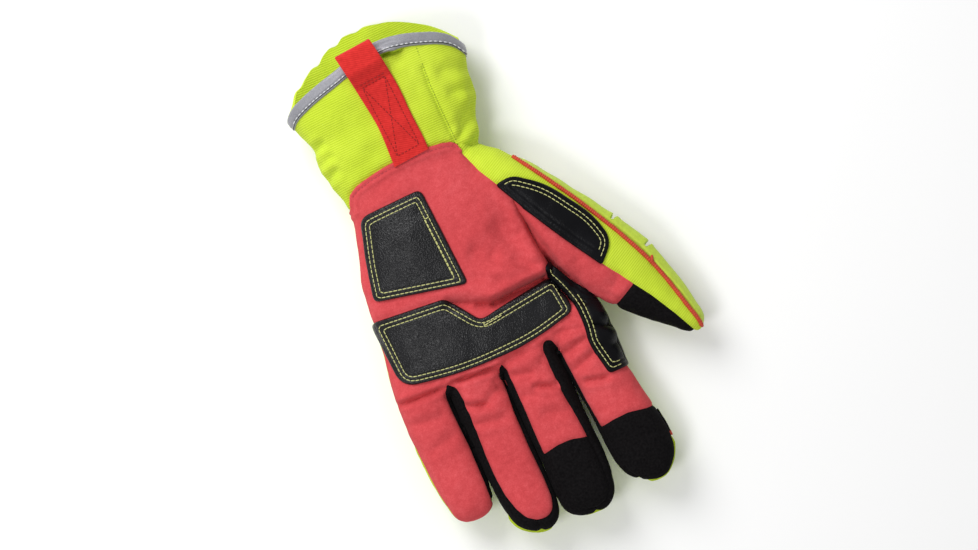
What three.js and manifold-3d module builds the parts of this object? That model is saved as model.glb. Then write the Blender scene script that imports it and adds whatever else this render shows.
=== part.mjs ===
// Insulated work glove for the left hand, lying on its back with the palm up.
// Millimetres. +Z leaves the palm, -Y runs to the fingertips, +X points to the thumb's side.
// The padded wall is one hollow skin of joined tubes, cut along the seams into its cloth panels.
// Patches, guards, tape and webbing lie on that skin as pieces of their own.

import * as THREE from "three";
import { mergeVertices } from "three/addons/utils/BufferGeometryUtils.js";
import Module from "manifold-3d";

const wasm = await Module();
wasm.setup();

// Driving sizes
const WALL = 3.0; // padded wall of hand, fingers and cuff
const SEAM_GAP = 0.36; // clear gap left along a seam
const LIE = 0.34; // clear gap under a piece that lies on the skin
const LEATHER = 1.5; // patches
const TAPE = 1.0; // reflective binding
const GUARD = 3.0; // moulded guards on the backs of the fingers
const PIPING = { thick: 1.3, width: 1.9 };
const WEBBING = 1.5;
const SIDES = { hand: 26, digit: 14, handInside: 14, digitInside: 10 };
const FAR = 140; // beyond the glove, for cutters
const TALL = 90;

// Where the glove's own middle lies in the drawing's coordinates, so that the origin is under it.
const ORIGIN_X = 17.7;
const ORIGIN_Y = -48.5;

// Hand and cuff, one row for each section: left and right edge, lowest and highest point.
const HAND = [
  { y: 98, left: -54, right: 42, low: 2.6, high: 46 },
  { y: 84, left: -56, right: 43.5, low: 1.9, high: 46 },
  { y: 66, left: -56.3, right: 44, low: 1.6, high: 45.5 },
  { y: 45, left: -50.6, right: 40.6, low: 0.8, high: 42 },
  { y: 37, left: -52.2, right: 40, low: -0.6, high: 41.5 },
  { y: 30, left: -51, right: 36, low: -1.5, high: 39 },
  { y: 22, left: -48.4, right: 34.2, low: -1.5, high: 37.6 },
  { y: 14, left: -46.4, right: 31, low: -1.5, high: 36 },
  { y: 6, left: -46.1, right: 34.4, low: -1.5, high: 36.8 },
  { y: -10, left: -50, right: 39.8, low: -1.5, high: 37.4 },
  { y: -30, left: -57, right: 44.4, low: -1.5, high: 37 },
  { y: -43, left: -59.2, right: 46.5, low: -1.5, high: 36.1 },
  { y: -57, left: -60.6, right: 47.6, low: -1.5, high: 35 },
  { y: -62, left: -61.4, right: 48, low: -1.5, high: 34.5 },
  { y: -68, left: -62.7, right: 48.6, low: -1.5, high: 34.1 },
  { y: -80, left: -65, right: 50.2, low: -1, high: 33.3 },
  { y: -92, left: -66.6, right: 53, low: 0.5, high: 32 },
  { y: -98, left: -65.6, right: 52.6, low: 4, high: 29.4 },
  { y: -101, left: -62, right: 50, low: 8, high: 25 },
];
const HAND_POWER = 2.5; // 2 is an ellipse, higher is boxier

// Fingers: middle and half width at the knuckle and near the tip, tip, length of the round end,
// edges of the palm-side face, where the face stops, and where a black cap begins.
const FINGERS = [
  { name: "pinky", root: -53, end: -53.6, halfRoot: 14.3, halfEnd: 14.5, tip: -170.6, round: 20,
    faceLeft: [-90, -90], faceRight: [-40.8, -40.5], faceTip: -180, cap: null },
  { name: "ring", root: -23.8, end: -23.6, halfRoot: 14.2, halfEnd: 14.4, tip: -188.4, round: 23,
    faceLeft: [-33, -34.2], faceRight: [-11.2, -11.4], faceTip: -181, cap: null },
  { name: "middle", root: 6.9, end: 7.4, halfRoot: 15.3, halfEnd: 15.4, tip: -192, round: 25,
    faceLeft: [-5.8, -5.2], faceRight: [16, 19], faceTip: -187, cap: -149.4 },
  { name: "index", root: 38.6, end: 43, halfRoot: 15.3, halfEnd: 16.4, tip: -188, round: 25,
    faceLeft: [24.7, 27.4], faceRight: [55.6, 62], faceTip: -200, cap: -149.6 },
];
const KNUCKLE_Y = -97;
const FINGER_ROOT = { y: -76, size: 0.7 }; // the tubes start inside the hand, as a share of full size
const FINGER_POWER = 2.6;
const FACE_RUN = 55; // over this length a face's edges move from their first to their second value
const SPREAD_RUN = 70; // over this length a finger's middle moves from root to end

// Height of every finger along its length: it curls up a little towards the tip.
const CURL = [
  { y: -80, low: 5, high: 30 },
  { y: -97, low: 4.4, high: 30.6 },
  { y: -115, low: 4.2, high: 29.5 },
  { y: -130, low: 4.6, high: 29.4 },
  { y: -150, low: 6.4, high: 30 },
  { y: -170, low: 9, high: 30.6 },
  { y: -192, low: 12, high: 31 },
];

// Thumb, in its own run: s along it, t across it towards its back, from the drawing's origin.
const THUMB_RUN = { x: 0.473, y: -0.881 };
const THUMB_SIDE = { x: 0.881, y: 0.473 };
const THUMB = [
  { s: 2, mid: 22, half: 8.6, low: 12, high: 29 },
  { s: 6, mid: 22, half: 12.2, low: 9, high: 33 },
  { s: 11, mid: 22.2, half: 14.2, low: 7.5, high: 35 },
  { s: 22, mid: 24, half: 15.2, low: 6.5, high: 36 },
  { s: 40, mid: 24.5, half: 16.8, low: 6, high: 36 },
  { s: 58, mid: 24.5, half: 17.9, low: 6, high: 36 },
  { s: 78, mid: 24.3, half: 18.5, low: 6, high: 35 },
  { s: 98, mid: 24.4, half: 17.9, low: 7, high: 33.5 },
  { s: 113, mid: 25.2, half: 15.6, low: 8.5, high: 32 },
  { s: 130, mid: 26, half: 10.9, low: 10.5, high: 30 },
  { s: 142, mid: 26.4, half: 7.4, low: 12.5, high: 28 },
  { s: 152, mid: 26.9, half: 4.8, low: 15, high: 25.5 },
  { s: 156.5, mid: 27, half: 2.2, low: 17.5, high: 22.5 },
];

// Height of the seam between the palm side and the back, along the glove.
const SIDE_SEAM = [
  { y: 110, z: 21 },
  { y: 14, z: 17 },
  { y: -97, z: 16 },
  { y: -130, z: 15.6 },
  { y: -160, z: 17.6 },
  { y: -205, z: 20 },
];

// Folds of the palm side: from, to, depth and width.
const FOLDS = [
  { x1: -17, y1: -57, x2: 36, y2: -66, depth: 3.2, width: 5 },
  { x1: 5, y1: -38, x2: 15, y2: -46, depth: 1.4, width: 9 },
  { x1: -60, y1: -98, x2: 50, y2: -98, depth: 1.6, width: 4 },
  { x1: 35, y1: -32, x2: 39, y2: -62, depth: 3, width: 4.5 },
];

// Seam lines seen from above, as corners from one end to the other.
const PALM_TOP = [
  [-90, 6], [-46, 8.5], [-44.5, 14], [-40, 17.8], [-30, 20], [-12, 21.8], [5, 21.4], [14, 20], [19, 17.4],
];
const THUMB_EDGE = [
  [19, 17.4], [20.6, 12], [24, 0], [30, -11.5], [34, -20.5], [45, -42],
  [63, -71], [74, -88], [88, -112], [93, -124], [98, -136],
];
const THUMB_CREASE = [
  [34, -20.5], [35.5, -32], [37, -50], [38.5, -60], [44, -71], [50.5, -82], [57, -91], [61.4, -97], [68, -106],
];
const UNDER_THUMB = [
  [30, 14], [41, -10], [46, -43], [48, -62], [50.5, -82], [57, -91], [68, -106], [98, -136],
];
const CUFF_SEAM = [[19, 17.4], [18.6, 50], [20, 65], [23, 100]];
const WRIST_TOP = [[19, 17.4], [27, 14], [60, 14]];
const WRIST_Y = 14; // gathered seam between cuff and back
const THUMB_CAP_S = 113;

// Rims of the cuff across the glove, as y: the palm side's edge, the tape's upper edge on the back,
// and the edge of the back's flap, which stands beyond both.
const RIM = [
  { x: -60, palm: 60.5, backTape: 60.5, flap: 64 },
  { x: -54, palm: 66.2, backTape: 65.5, flap: 71 },
  { x: -44, palm: 70.4, backTape: 70, flap: 81.5 },
  { x: -34, palm: 73.1, backTape: 74, flap: 87 },
  { x: -24, palm: 75.4, backTape: 77.5, flap: 92.3 },
  { x: -12, palm: 78.8, backTape: 80.5, flap: 95.8 },
  { x: 2, palm: 80.9, backTape: 81, flap: 96 },
  { x: 15, palm: 79.4, backTape: 79.5, flap: 93 },
  { x: 25, palm: 76.4, backTape: 76, flap: 87.6 },
  { x: 34.5, palm: 72.5, backTape: 71, flap: 80.5 },
  { x: 39.3, palm: 69.2, backTape: 67, flap: 75 },
  { x: 44.2, palm: 62.5, backTape: 61.5, flap: 68 },
  { x: 50, palm: 54, backTape: 54, flap: 58 },
];
const TAPE_WIDTH = 5.9;

// Patches: corners with the radius that rounds each.
const HEEL_PATCH = [
  [-42.6, 2.6, 5], [-7.6, 3.2, 4], [-4.9, -52.2, 3.5], [-54.2, -41, 3.5], [-50.2, -22, 40],
];
const PALM_PATCH = [
  [-61, -50.2, 4], [-20, -54.4, 5], [-7, -71.8, 5], [37, -67, 5],
  [39.4, -88, 5], [14, -93.6, 50], [-24, -94.2, 50], [-59.6, -88, 9],
];
const PATCHED_ABOVE = 22; // no patch reaches lower down the sides
const INDEX_PATCH = [
  [35.6, -59.4, 2], [45.2, -74.6, 4], [67, -96, 3], [67, -127.4, 2],
  [44.2, -127.4, 2.4], [40, -113, 8], [42.6, -98, 12], [41, -82, 20],
];
const THUMB_PATCH = [
  [29.6, -10.4, 2], [38.6, -9.6, 10], [53, -21, 22], [69, -46, 26],
  [73, -62, 7], [63.4, -71.6, 2], [45.3, -41.8, 60],
];

// Guard on the back of the thumb: inner edge across the thumb, and how far it stands out.
const THUMB_GUARD = [
  { s: 22.5, edge: 38.4, thick: 1 },
  { s: 40, edge: 40, thick: 1.4 },
  { s: 58, edge: 41, thick: 2.4 },
  { s: 78, edge: 41.2, thick: 3.4 },
  { s: 98, edge: 40.6, thick: 4.3 },
  { s: 113, edge: 39.2, thick: 4.9 },
  { s: 130, edge: 35.8, thick: 4.5 },
  { s: 142, edge: 32.6, thick: 3.4 },
  { s: 153, edge: 30, thick: 1.6 },
];
const THUMB_NOTCHES = [83, 105.5];
const NOTCH_WIDTH = 1.8;
const NOTCH_FLOOR = 1.1; // of the guard's thickness, left under a notch
const FINGER_GUARD = { half: 9.5, start: -108, tipGap: 10, top: 11, notches: [-128, -149] };

// Pull tab, along its own length from the sewn end: flat to sewnTo, over the tape, then folded back
const TAB = {
  x: -5.1, y: 22.4, turn: 4.3, width: 20.4, gap: 2.2,
  flat: [0, 7.6, 14.6, 22.6, 31.6], sewnTo: 41.6, overTape: 49.6, bend: 58.9,
};

// Small maths
const power = (v, p) => Math.sign(v) * Math.abs(v) ** p;
const mix = (a, b, f) => a + (b - a) * f;

// A row of the table at key value k, straight between its neighbours.
function rowAt(rows, key, k) {
  const rising = rows[rows.length - 1][key] > rows[0][key];
  const before = (row) => (rising ? row[key] <= k : row[key] >= k);
  let i = 0;
  while (i < rows.length - 2 && before(rows[i + 1])) i += 1;
  const [a, b] = [rows[i], rows[i + 1]];
  const f = Math.min(1, Math.max(0, (k - a[key]) / (b[key] - a[key])));
  return Object.fromEntries(Object.keys(a).map((name) => [name, mix(a[name], b[name], f)]));
}

function foldDepth(x, y) {
  let depth = 0;
  for (const fold of FOLDS) {
    const [dx, dy] = [fold.x2 - fold.x1, fold.y2 - fold.y1];
    const f = Math.min(1, Math.max(0, ((x - fold.x1) * dx + (y - fold.y1) * dy) / (dx * dx + dy * dy)));
    const away = Math.hypot(x - fold.x1 - f * dx, y - fold.y1 - f * dy);
    depth += fold.depth * Math.exp(-((away / fold.width) ** 2));
  }
  return depth;
}

// One closed section as across and height pairs, flat where it would sink into the floor.
function sectionPoints(mid, half, low, high, sides, exponent, floor) {
  const centre = (low + high) / 2;
  const points = [];
  for (let k = 0; k < sides; k += 1) {
    const angle = (2 * Math.PI * (k + 0.5)) / sides;
    const across = mid + half * power(Math.cos(angle), 2 / exponent);
    const z = centre + ((high - low) / 2) * power(Math.sin(angle), 2 / exponent);
    points.push([across, Math.max(floor, z)]);
  }
  return points;
}

// A closed tube through rings of equal length, each a list of [x, y, z].
function loft(rings) {
  const sides = rings[0].length;
  const positions = rings.flat(2);
  const faces = [];
  for (let r = 0; r + 1 < rings.length; r += 1) {
    for (let k = 0; k < sides; k += 1) {
      const [a, b] = [r * sides + k, r * sides + ((k + 1) % sides)];
      faces.push(a, b, b + sides, a, b + sides, a + sides);
    }
  }
  for (const [ring, turned] of [[0, true], [rings.length - 1, false]]) {
    const centre = [0, 1, 2].map((i) => rings[ring].reduce((sum, p) => sum + p[i], 0) / sides);
    const hub = positions.length / 3;
    positions.push(...centre);
    for (let k = 0; k < sides; k += 1) {
      const [a, b] = [ring * sides + k, ring * sides + ((k + 1) % sides)];
      faces.push(...(turned ? [hub, b, a] : [hub, a, b]));
    }
  }
  const geometry = new THREE.BufferGeometry();
  geometry.setAttribute("position", new THREE.Float32BufferAttribute(positions, 3));
  geometry.setIndex(faces);
  return geometry;
}

// three.js geometry to a manifold solid and back
function solid(geometry) {
  const bare = geometry.clone();
  bare.deleteAttribute("normal");
  bare.deleteAttribute("uv");
  const merged = mergeVertices(bare, 1e-4);
  const mesh = new wasm.Mesh({
    numProp: 3,
    vertProperties: merged.attributes.position.array,
    triVerts: new Uint32Array(merged.index.array),
  });
  return new wasm.Manifold(mesh);
}

function geometryOf(body) {
  const { vertProperties, triVerts, numProp } = body.getMesh();
  const positions = [];
  for (let i = 0; i < vertProperties.length; i += numProp) positions.push(...vertProperties.slice(i, i + 3));
  const geometry = new THREE.BufferGeometry();
  geometry.setAttribute("position", new THREE.Float32BufferAttribute(positions, 3));
  geometry.setIndex([...triVerts]);
  geometry.computeVertexNormals();
  return geometry;
}

// Tubes of the skin, grown outwards by a distance or, if it is negative, drawn in
function handTube(grow) {
  const sides = grow < 0 ? SIDES.handInside : SIDES.hand;
  const rings = HAND.map((row, i) => {
    const end = i === HAND.length - 1 ? -grow : 0;
    const points = sectionPoints((row.left + row.right) / 2, (row.right - row.left) / 2 + grow,
      row.low - grow, row.high + grow, sides, HAND_POWER, -grow);
    return points.map(([x, z]) => {
      const dent = z > (row.low + row.high) / 2 ? foldDepth(x, row.y) : 0;
      return [x, row.y + end + (i === 0 ? Math.max(0, -grow) : 0), z - dent];
    });
  });
  return solid(loft(rings));
}

function fingerTube(finger, grow) {
  const roundStart = finger.tip + finger.round;
  const round = finger.round + grow;
  const tipStations = [0.4, 0.7, 0.9, 1].map((share) => roundStart - round * share);
  const stations = [FINGER_ROOT.y + grow, -97, -115, -131, roundStart, ...tipStations];
  const sides = grow < 0 ? SIDES.digitInside : SIDES.digit;
  const rings = stations.map((y) => {
    const along = Math.min(1, Math.max(0, (KNUCKLE_Y - y) / (KNUCKLE_Y - roundStart)));
    const curl = rowAt(CURL, "y", y);
    const into = Math.min(0.985, Math.max(0, (roundStart - y) / round));
    const open = mix(FINGER_ROOT.size, 1, Math.min(1, (FINGER_ROOT.y - y) / (FINGER_ROOT.y - KNUCKLE_Y)));
    const close = open * (1 - into ** 2.5) ** 0.4;
    const half = (mix(finger.halfRoot, finger.halfEnd, along) + grow) * close;
    const middle = (curl.low + curl.high) / 2;
    const rise = ((curl.high - curl.low) / 2 + grow) * close;
    const points = sectionPoints(mix(finger.root, finger.end, along), half, middle - rise, middle + rise,
      sides, FINGER_POWER, -grow);
    return points.map(([x, z]) => [x, y, z]);
  });
  return solid(loft(rings));
}

function thumbPoint(s, t) {
  return [s * THUMB_RUN.x + t * THUMB_SIDE.x, s * THUMB_RUN.y + t * THUMB_SIDE.y];
}

// The thumb's distance may change along it.
function thumbTube(growAt) {
  const rings = THUMB.map((row, i) => {
    const grow = growAt(row.s);
    const half = Math.max(0.8, row.half + grow);
    const middle = (row.low + row.high) / 2;
    const rise = Math.max(0.8, (row.high - row.low) / 2 + grow);
    const s = i > THUMB.length - 4 ? row.s + grow : row.s;
    const sides = grow < 0 ? SIDES.digitInside : SIDES.digit;
    return sectionPoints(row.mid, half, middle - rise, middle + rise, sides, FINGER_POWER, 0.2 - grow)
      .map(([t, z]) => [...thumbPoint(s, t), z]);
  });
  return solid(loft(rings));
}

const skins = new Map();
function skin(grow, withThumb = true) {
  const key = `${grow} ${withThumb}`;
  if (!skins.has(key)) {
    let body = handTube(grow);
    for (const finger of FINGERS) body = body.add(fingerTube(finger, grow));
    if (withThumb) body = body.add(thumbTube(() => grow));
    skins.set(key, body);
  }
  return skins.get(key);
}

// Cutters: an outline seen from above, a profile seen from the side, and a blade along a line
function prism(outline, low = -TALL, high = TALL) {
  const shape = new THREE.Shape(outline.map(([x, y]) => new THREE.Vector2(x, y)));
  const geometry = new THREE.ExtrudeGeometry(shape, { depth: high - low, bevelEnabled: false });
  return solid(geometry.translate(0, 0, low));
}

// The profile's points are [y, z]; it reaches from x = from to x = to.
function sideProfile(profile, from = -FAR, to = FAR) {
  const shape = new THREE.Shape(profile.map(([y, z]) => new THREE.Vector2(y, z)));
  const geometry = new THREE.ExtrudeGeometry(shape, { depth: to - from, bevelEnabled: false });
  const sideways = new THREE.Matrix4().set(0, 0, 1, from, 1, 0, 0, 0, 0, 1, 0, 0, 0, 0, 0, 1);
  return solid(geometry.applyMatrix4(sideways));
}

function ribbon(line, width) {
  const side = (sign) => line.map(([x, y], i) => {
    const [ax, ay] = line[Math.max(0, i - 1)];
    const [bx, by] = line[Math.min(line.length - 1, i + 1)];
    const length = Math.hypot(bx - ax, by - ay);
    return [x - (sign * width * (by - ay)) / length / 2, y + (sign * width * (bx - ax)) / length / 2];
  });
  return [...side(1), ...side(-1).reverse()];
}

// Corners [x, y, radius] to an outline with each corner rounded by a short arc.
function rounded(corners) {
  const outline = [];
  corners.forEach(([x, y, radius], i) => {
    const previous = corners[(i + corners.length - 1) % corners.length];
    const next = corners[(i + 1) % corners.length];
    const corner = new THREE.Vector2(x, y);
    const back = new THREE.Vector2(previous[0] - x, previous[1] - y);
    const ahead = new THREE.Vector2(next[0] - x, next[1] - y);
    const reach = Math.min(radius, back.length() * 0.45, ahead.length() * 0.45);
    const start = corner.clone().addScaledVector(back.normalize(), reach);
    const end = corner.clone().addScaledVector(ahead.normalize(), reach);
    const steps = radius > 12 ? 4 : 3;
    for (let k = 0; k <= steps; k += 1) {
      const f = k / steps;
      const px = (1 - f) ** 2 * start.x + 2 * f * (1 - f) * x + f * f * end.x;
      const py = (1 - f) ** 2 * start.y + 2 * f * (1 - f) * y + f * f * end.y;
      outline.push([px, py]);
    }
  });
  return outline;
}

// Regions that the seams bound
const seamProfile = SIDE_SEAM.map(({ y, z }) => [y, z]);
const above = sideProfile([...seamProfile, [-205, TALL], [110, TALL]]);
const below = sideProfile([...seamProfile, [-205, -TALL], [110, -TALL]]);
// Where one cloth runs round the side, the lower region laps the upper by a hair.
const LAP = 0.05;
const lappedProfile = SIDE_SEAM.map(({ y, z }) => [y, z + LAP]);
const belowLapped = sideProfile([...lappedProfile, [-205, -TALL], [110, -TALL]]);
const seamSlab = sideProfile([
  ...SIDE_SEAM.map(({ y, z }) => [y, z + SEAM_GAP / 2]),
  ...SIDE_SEAM.map(({ y, z }) => [y, z - SEAM_GAP / 2]).reverse(),
]);

// The palm-side face of a finger from one height of the drawing to another. It ends round, or
// straight where a cap follows or the face takes in the whole tip.
function faceOutline(finger, from, to, grow) {
  const left = (y) => mix(finger.faceLeft[0], finger.faceLeft[1], (KNUCKLE_Y - y) / FACE_RUN) - grow;
  const right = (y) => mix(finger.faceRight[0], finger.faceRight[1], (KNUCKLE_Y - y) / FACE_RUN) + grow;
  if (to <= finger.tip || to === finger.cap) {
    return [[left(from), from], [left(to), to - grow], [right(to), to - grow], [right(from), from]];
  }
  const round = (right(to) - left(to)) / 2;
  const middle = (right(to) + left(to)) / 2;
  const outline = [[right(from), from], [left(from), from]];
  for (let k = 0; k <= 8; k += 1) {
    const turn = Math.PI * (1 + k / 8);
    const out = power(Math.cos(turn), 0.75);
    outline.push([middle + round * out, to + round + (round + grow) * power(Math.sin(turn), 0.75)]);
  }
  return outline;
}

const palmOutline = [...PALM_TOP, ...THUMB_EDGE.slice(1, 4), ...THUMB_CREASE.slice(0, -1), [-90, KNUCKLE_Y]];
const FACE_OVERLAP = 6; // a finger's face reaches this far into the palm

function palmAndFaces(grow) {
  let region = prism(palmOutline);
  for (const finger of FINGERS) {
    const stop = finger.cap ?? finger.faceTip;
    region = region.add(prism(faceOutline(finger, KNUCKLE_Y + FACE_OVERLAP, stop, grow)));
  }
  return region;
}

const capOutline = (finger, grow) => faceOutline(finger, finger.cap - SEAM_GAP + grow, finger.faceTip, grow);
const leftOfThumb = [
  [-FAR, FAR], [23, FAR], ...[...CUFF_SEAM].reverse(), ...THUMB_EDGE.slice(1), [98, -210], [-FAR, -210],
];
const thumbSideTop = [...THUMB_EDGE, [FAR, -136], [FAR, 14], ...WRIST_TOP.slice(1).reverse()];
const thumbSideUnder = [...UNDER_THUMB, [FAR, -136], [FAR, WRIST_Y]];
const thumbFaceOutline = [...THUMB_CREASE, [98, -136], ...THUMB_EDGE.slice(5, -1).reverse()];
const cuffPalmOutline = [...[...PALM_TOP].reverse(), [-90, FAR], [23, FAR], ...CUFF_SEAM.slice(1).reverse()];
const cuffSideTop = [...WRIST_TOP, [FAR, 14], [FAR, FAR], [23, FAR], ...CUFF_SEAM.slice(1).reverse()];
const beyondCap = [[THUMB_CAP_S, -20], [200, -20], [200, 60], [THUMB_CAP_S, 60]]
  .map(([s, t]) => thumbPoint(s, t));
// Everything on the fingers' side of a rim, moved outwards by a lift
const underRim = (edge, lift = 0) => prism([
  ...RIM.map((row) => [row.x, row[edge] + lift]), [FAR, 20], [FAR, -FAR], [-FAR, -FAR], [-FAR, 20],
]);

// The padded wall, with every seam opened
function openCloth() {
  const blade = (line) => prism(ribbon(line, SEAM_GAP));
  const capLine = [thumbPoint(THUMB_CAP_S, -20), thumbPoint(THUMB_CAP_S, 60)];
  const cuts = [
    ...[PALM_TOP, THUMB_CREASE, THUMB_EDGE, CUFF_SEAM, WRIST_TOP].map((line) => blade(line).intersect(above)),
    ...[UNDER_THUMB, [[-90, WRIST_Y], [60, WRIST_Y]]].map((line) => blade(line).intersect(below)),
    blade(capLine).intersect(prism(thumbFaceOutline)).intersect(above),
    seamSlab.intersect(prism(leftOfThumb)),
  ];
  let cloth = skin(0).subtract(skin(-WALL));
  for (const cut of cuts) cloth = cloth.subtract(cut);
  return cloth;
}

const cloth = openCloth();
const clothAbove = cloth.intersect(above);
const clothBelow = cloth.intersect(below);

// Looks of the materials
const coral = { color: 0xd9525a, roughness: 0.9, metalness: 0 };
const lime = { color: 0xc3dc2c, roughness: 0.85, metalness: 0 };
const suede = { color: 0x17171a, roughness: 0.95, metalness: 0 };
const leather = { color: 0x202027, roughness: 0.55, metalness: 0 };
const reflective = { color: 0x92929c, roughness: 0.4, metalness: 0.1 };
const webbing = { color: 0xd82a2a, roughness: 0.8, metalness: 0 };
const redRubber = { color: 0xcf3a1c, roughness: 0.6, metalness: 0 };
const limeRubber = { color: 0xc6e330, roughness: 0.5, metalness: 0 };

const glove = new THREE.Group();
glove.position.set(-ORIGIN_X, -ORIGIN_Y, 0);

function add(name, body, look) {
  const mesh = new THREE.Mesh(geometryOf(body), new THREE.MeshStandardMaterial(look));
  mesh.name = name;
  glove.add(mesh);
  return mesh;
}

// Palm side of the hand and fingers
function addPalm() {
  add("palm_panel", clothAbove.intersect(palmAndFaces(0)), coral);
  const capped = FINGERS.filter((finger) => finger.cap !== null);
  let covered = palmAndFaces(SEAM_GAP);
  for (const finger of capped) {
    add(`${finger.name}_tip`, clothAbove.intersect(prism(capOutline(finger, 0))), suede);
    covered = covered.add(prism(capOutline(finger, SEAM_GAP)));
  }
  for (let i = 0; i + 1 < FINGERS.length; i += 1) {
    const [from, to] = [FINGERS[i], FINGERS[i + 1]];
    const start = KNUCKLE_Y - SEAM_GAP;
    const between = prism([
      [from.root + SEAM_GAP / 2, start], [from.end + SEAM_GAP / 2, -205],
      [to.end - SEAM_GAP / 2, -205], [to.root - SEAM_GAP / 2, start],
    ]);
    add(`fourchette_${from.name}_${to.name}`, clothAbove.intersect(between).subtract(covered), suede);
  }
}

// Back of the hand and fingers
function addBack() {
  const beforeWrist = prism([[-FAR, -210], [FAR, -210], [FAR, WRIST_Y], [-FAR, WRIST_Y]]);
  add("back_panel", clothBelow.intersect(beforeWrist).subtract(prism(thumbSideUnder)), lime);
}

function addThumb() {
  const face = clothAbove.intersect(prism(thumbFaceOutline));
  add("thumb_palm", face.subtract(prism(beyondCap)), coral);
  add("thumb_tip", face.intersect(prism(beyondCap)), suede);
  const side = above.intersect(prism(thumbSideTop)).add(belowLapped.intersect(prism(thumbSideUnder)));
  add("thumb_back", cloth.intersect(side), lime);
}

function addCuff() {
  const front = above.intersect(underRim("palm"));
  add("cuff_palm", cloth.intersect(front).intersect(prism(cuffPalmOutline)), lime);
  const behindWrist = prism([[-FAR, WRIST_Y], [FAR, WRIST_Y], [FAR, FAR], [-FAR, FAR]]);
  const flap = belowLapped.intersect(behindWrist).intersect(underRim("flap"));
  add("cuff_back", cloth.intersect(flap.add(front.intersect(prism(cuffSideTop)))), lime);
}

// Reflective tape round the rim: on the palm side it also covers the rim's edge.
function addBinding() {
  const outer = skin(LIE + TAPE);
  const band = outer.subtract(skin(LIE));
  const edge = outer.subtract(skin(-WALL - TAPE));
  const over = LIE + TAPE;
  const front = band.intersect(underRim("palm", over)).subtract(underRim("palm", over - TAPE_WIDTH));
  const hem = edge.intersect(underRim("palm", over)).subtract(underRim("palm", LIE));
  const back = band.intersect(underRim("backTape")).subtract(underRim("backTape", -TAPE_WIDTH));
  const [far, near] = SIDE_SEAM.map(({ y, z }) => [y, z + SEAM_GAP]);
  const clear = sideProfile([far, near, [near[0], TALL], [far[0], TALL]]);
  const tape = front.intersect(above).add(hem.intersect(clear)).add(back.intersect(belowLapped));
  add("cuff_binding", tape, reflective);
}

// Red webbing sewn flat on the cuff, then turned back on itself as a free loop over the rim
function addTab() {
  const crown = (along) => rowAt(HAND, "y", Math.min(84, TAB.y + along)).high + LIE + WEBBING / 2;
  const raised = (along, lift) => [along, crown(along) + lift];
  const overTape = LIE + TAPE;
  const back = overTape + TAB.gap + WEBBING;
  const radius = (TAB.gap + WEBBING) / 2;
  const fold = [-60, -30, 0, 30, 60].map((angle) => {
    const turn = (angle * Math.PI) / 180;
    return [TAB.bend + radius * Math.cos(turn), crown(TAB.bend) + overTape + radius * (1 + Math.sin(turn))];
  });
  const path = [
    ...TAB.flat.map((along) => raised(along, 0)), raised(TAB.sewnTo, 0),
    raised(TAB.overTape, overTape), raised(TAB.bend, overTape), ...fold,
    raised(TAB.bend, back), raised(TAB.overTape, back), raised(TAB.sewnTo + 2, WEBBING),
  ];
  const strip = sideProfile(ribbon(path, WEBBING), -TAB.width / 2, TAB.width / 2);
  const mesh = add("pull_tab", strip, webbing);
  mesh.position.set(TAB.x, TAB.y, 0);
  mesh.rotation.z = (TAB.turn * Math.PI) / 180;
}

function addPatches() {
  const base = skin(LIE);
  const top = sideProfile([[110, PATCHED_ABOVE], [-205, PATCHED_ABOVE], [-205, TALL], [110, TALL]]);
  const onHand = skin(LIE + LEATHER, false).subtract(base);
  const onThumb = skin(LIE + LEATHER).subtract(base);
  for (const [name, corners, sheet] of [
    ["heel_patch", HEEL_PATCH, onHand],
    ["palm_patch", PALM_PATCH, onHand],
    ["index_patch", INDEX_PATCH, onHand],
    ["thumb_patch", THUMB_PATCH, onThumb],
  ]) {
    add(name, sheet.intersect(prism(rounded(corners))).intersect(top), leather);
  }
}

function addGuards() {
  const thick = (s) => rowAt(THUMB_GUARD, "s", s).thick;
  const edge = THUMB_GUARD.map(({ s, edge: t }) => [s, t]);
  const across = (points, t = 0) => points.map(([s, at]) => thumbPoint(s, at + t));
  const beyond = [...across(edge), thumbPoint(153, 70), thumbPoint(22.5, 70)];
  let guard = thumbTube((s) => LIE + thick(s)).subtract(skin(LIE)).intersect(prism(beyond));
  const notchFloor = thumbTube(() => LIE + NOTCH_FLOOR);
  for (const s of THUMB_NOTCHES) {
    const [from, to] = [s - NOTCH_WIDTH / 2, s + NOTCH_WIDTH / 2];
    const notch = [[from, 20], [from, 70], [to, 70], [to, 20]];
    guard = guard.subtract(prism(across(notch)).subtract(notchFloor));
  }
  add("thumb_guard", guard, limeRubber);
  const strip = [...across(edge, -SEAM_GAP), ...across(edge, -SEAM_GAP - PIPING.width).reverse()];
  const piping = thumbTube(() => LIE + PIPING.thick).subtract(skin(LIE)).intersect(prism(strip));
  add("thumb_piping", piping.intersect(above), redRubber);
  add("thumb_piping_back", piping.intersect(below), redRubber);
  for (const finger of FINGERS) addFingerGuard(finger);
}

function addFingerGuard(finger) {
  const middle = (y) => mix(finger.root, finger.end, (KNUCKLE_Y - y) / SPREAD_RUN);
  const [start, stop] = [FINGER_GUARD.start, finger.tip + FINGER_GUARD.tipGap];
  const side = (sign) => [start, stop].map((y) => [middle(y) + sign * FINGER_GUARD.half, y]);
  const low = prism([...side(1), ...side(-1).reverse()], -TALL, FINGER_GUARD.top);
  let guard = fingerTube(finger, LIE + GUARD).subtract(skin(LIE)).intersect(low);
  const floor = fingerTube(finger, LIE + NOTCH_FLOOR);
  for (const y of FINGER_GUARD.notches) {
    guard = guard.subtract(sideProfile([
      [y, -TALL], [y - NOTCH_WIDTH, -TALL], [y - NOTCH_WIDTH, TALL], [y, TALL],
    ], middle(y) - 20, middle(y) + 20).subtract(floor));
  }
  add(`${finger.name}_guard`, guard, limeRubber);
}

addPalm();
addBack();
addThumb();
addCuff();
addBinding();
addTab();
addPatches();
addGuards();

export default glove;
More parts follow.
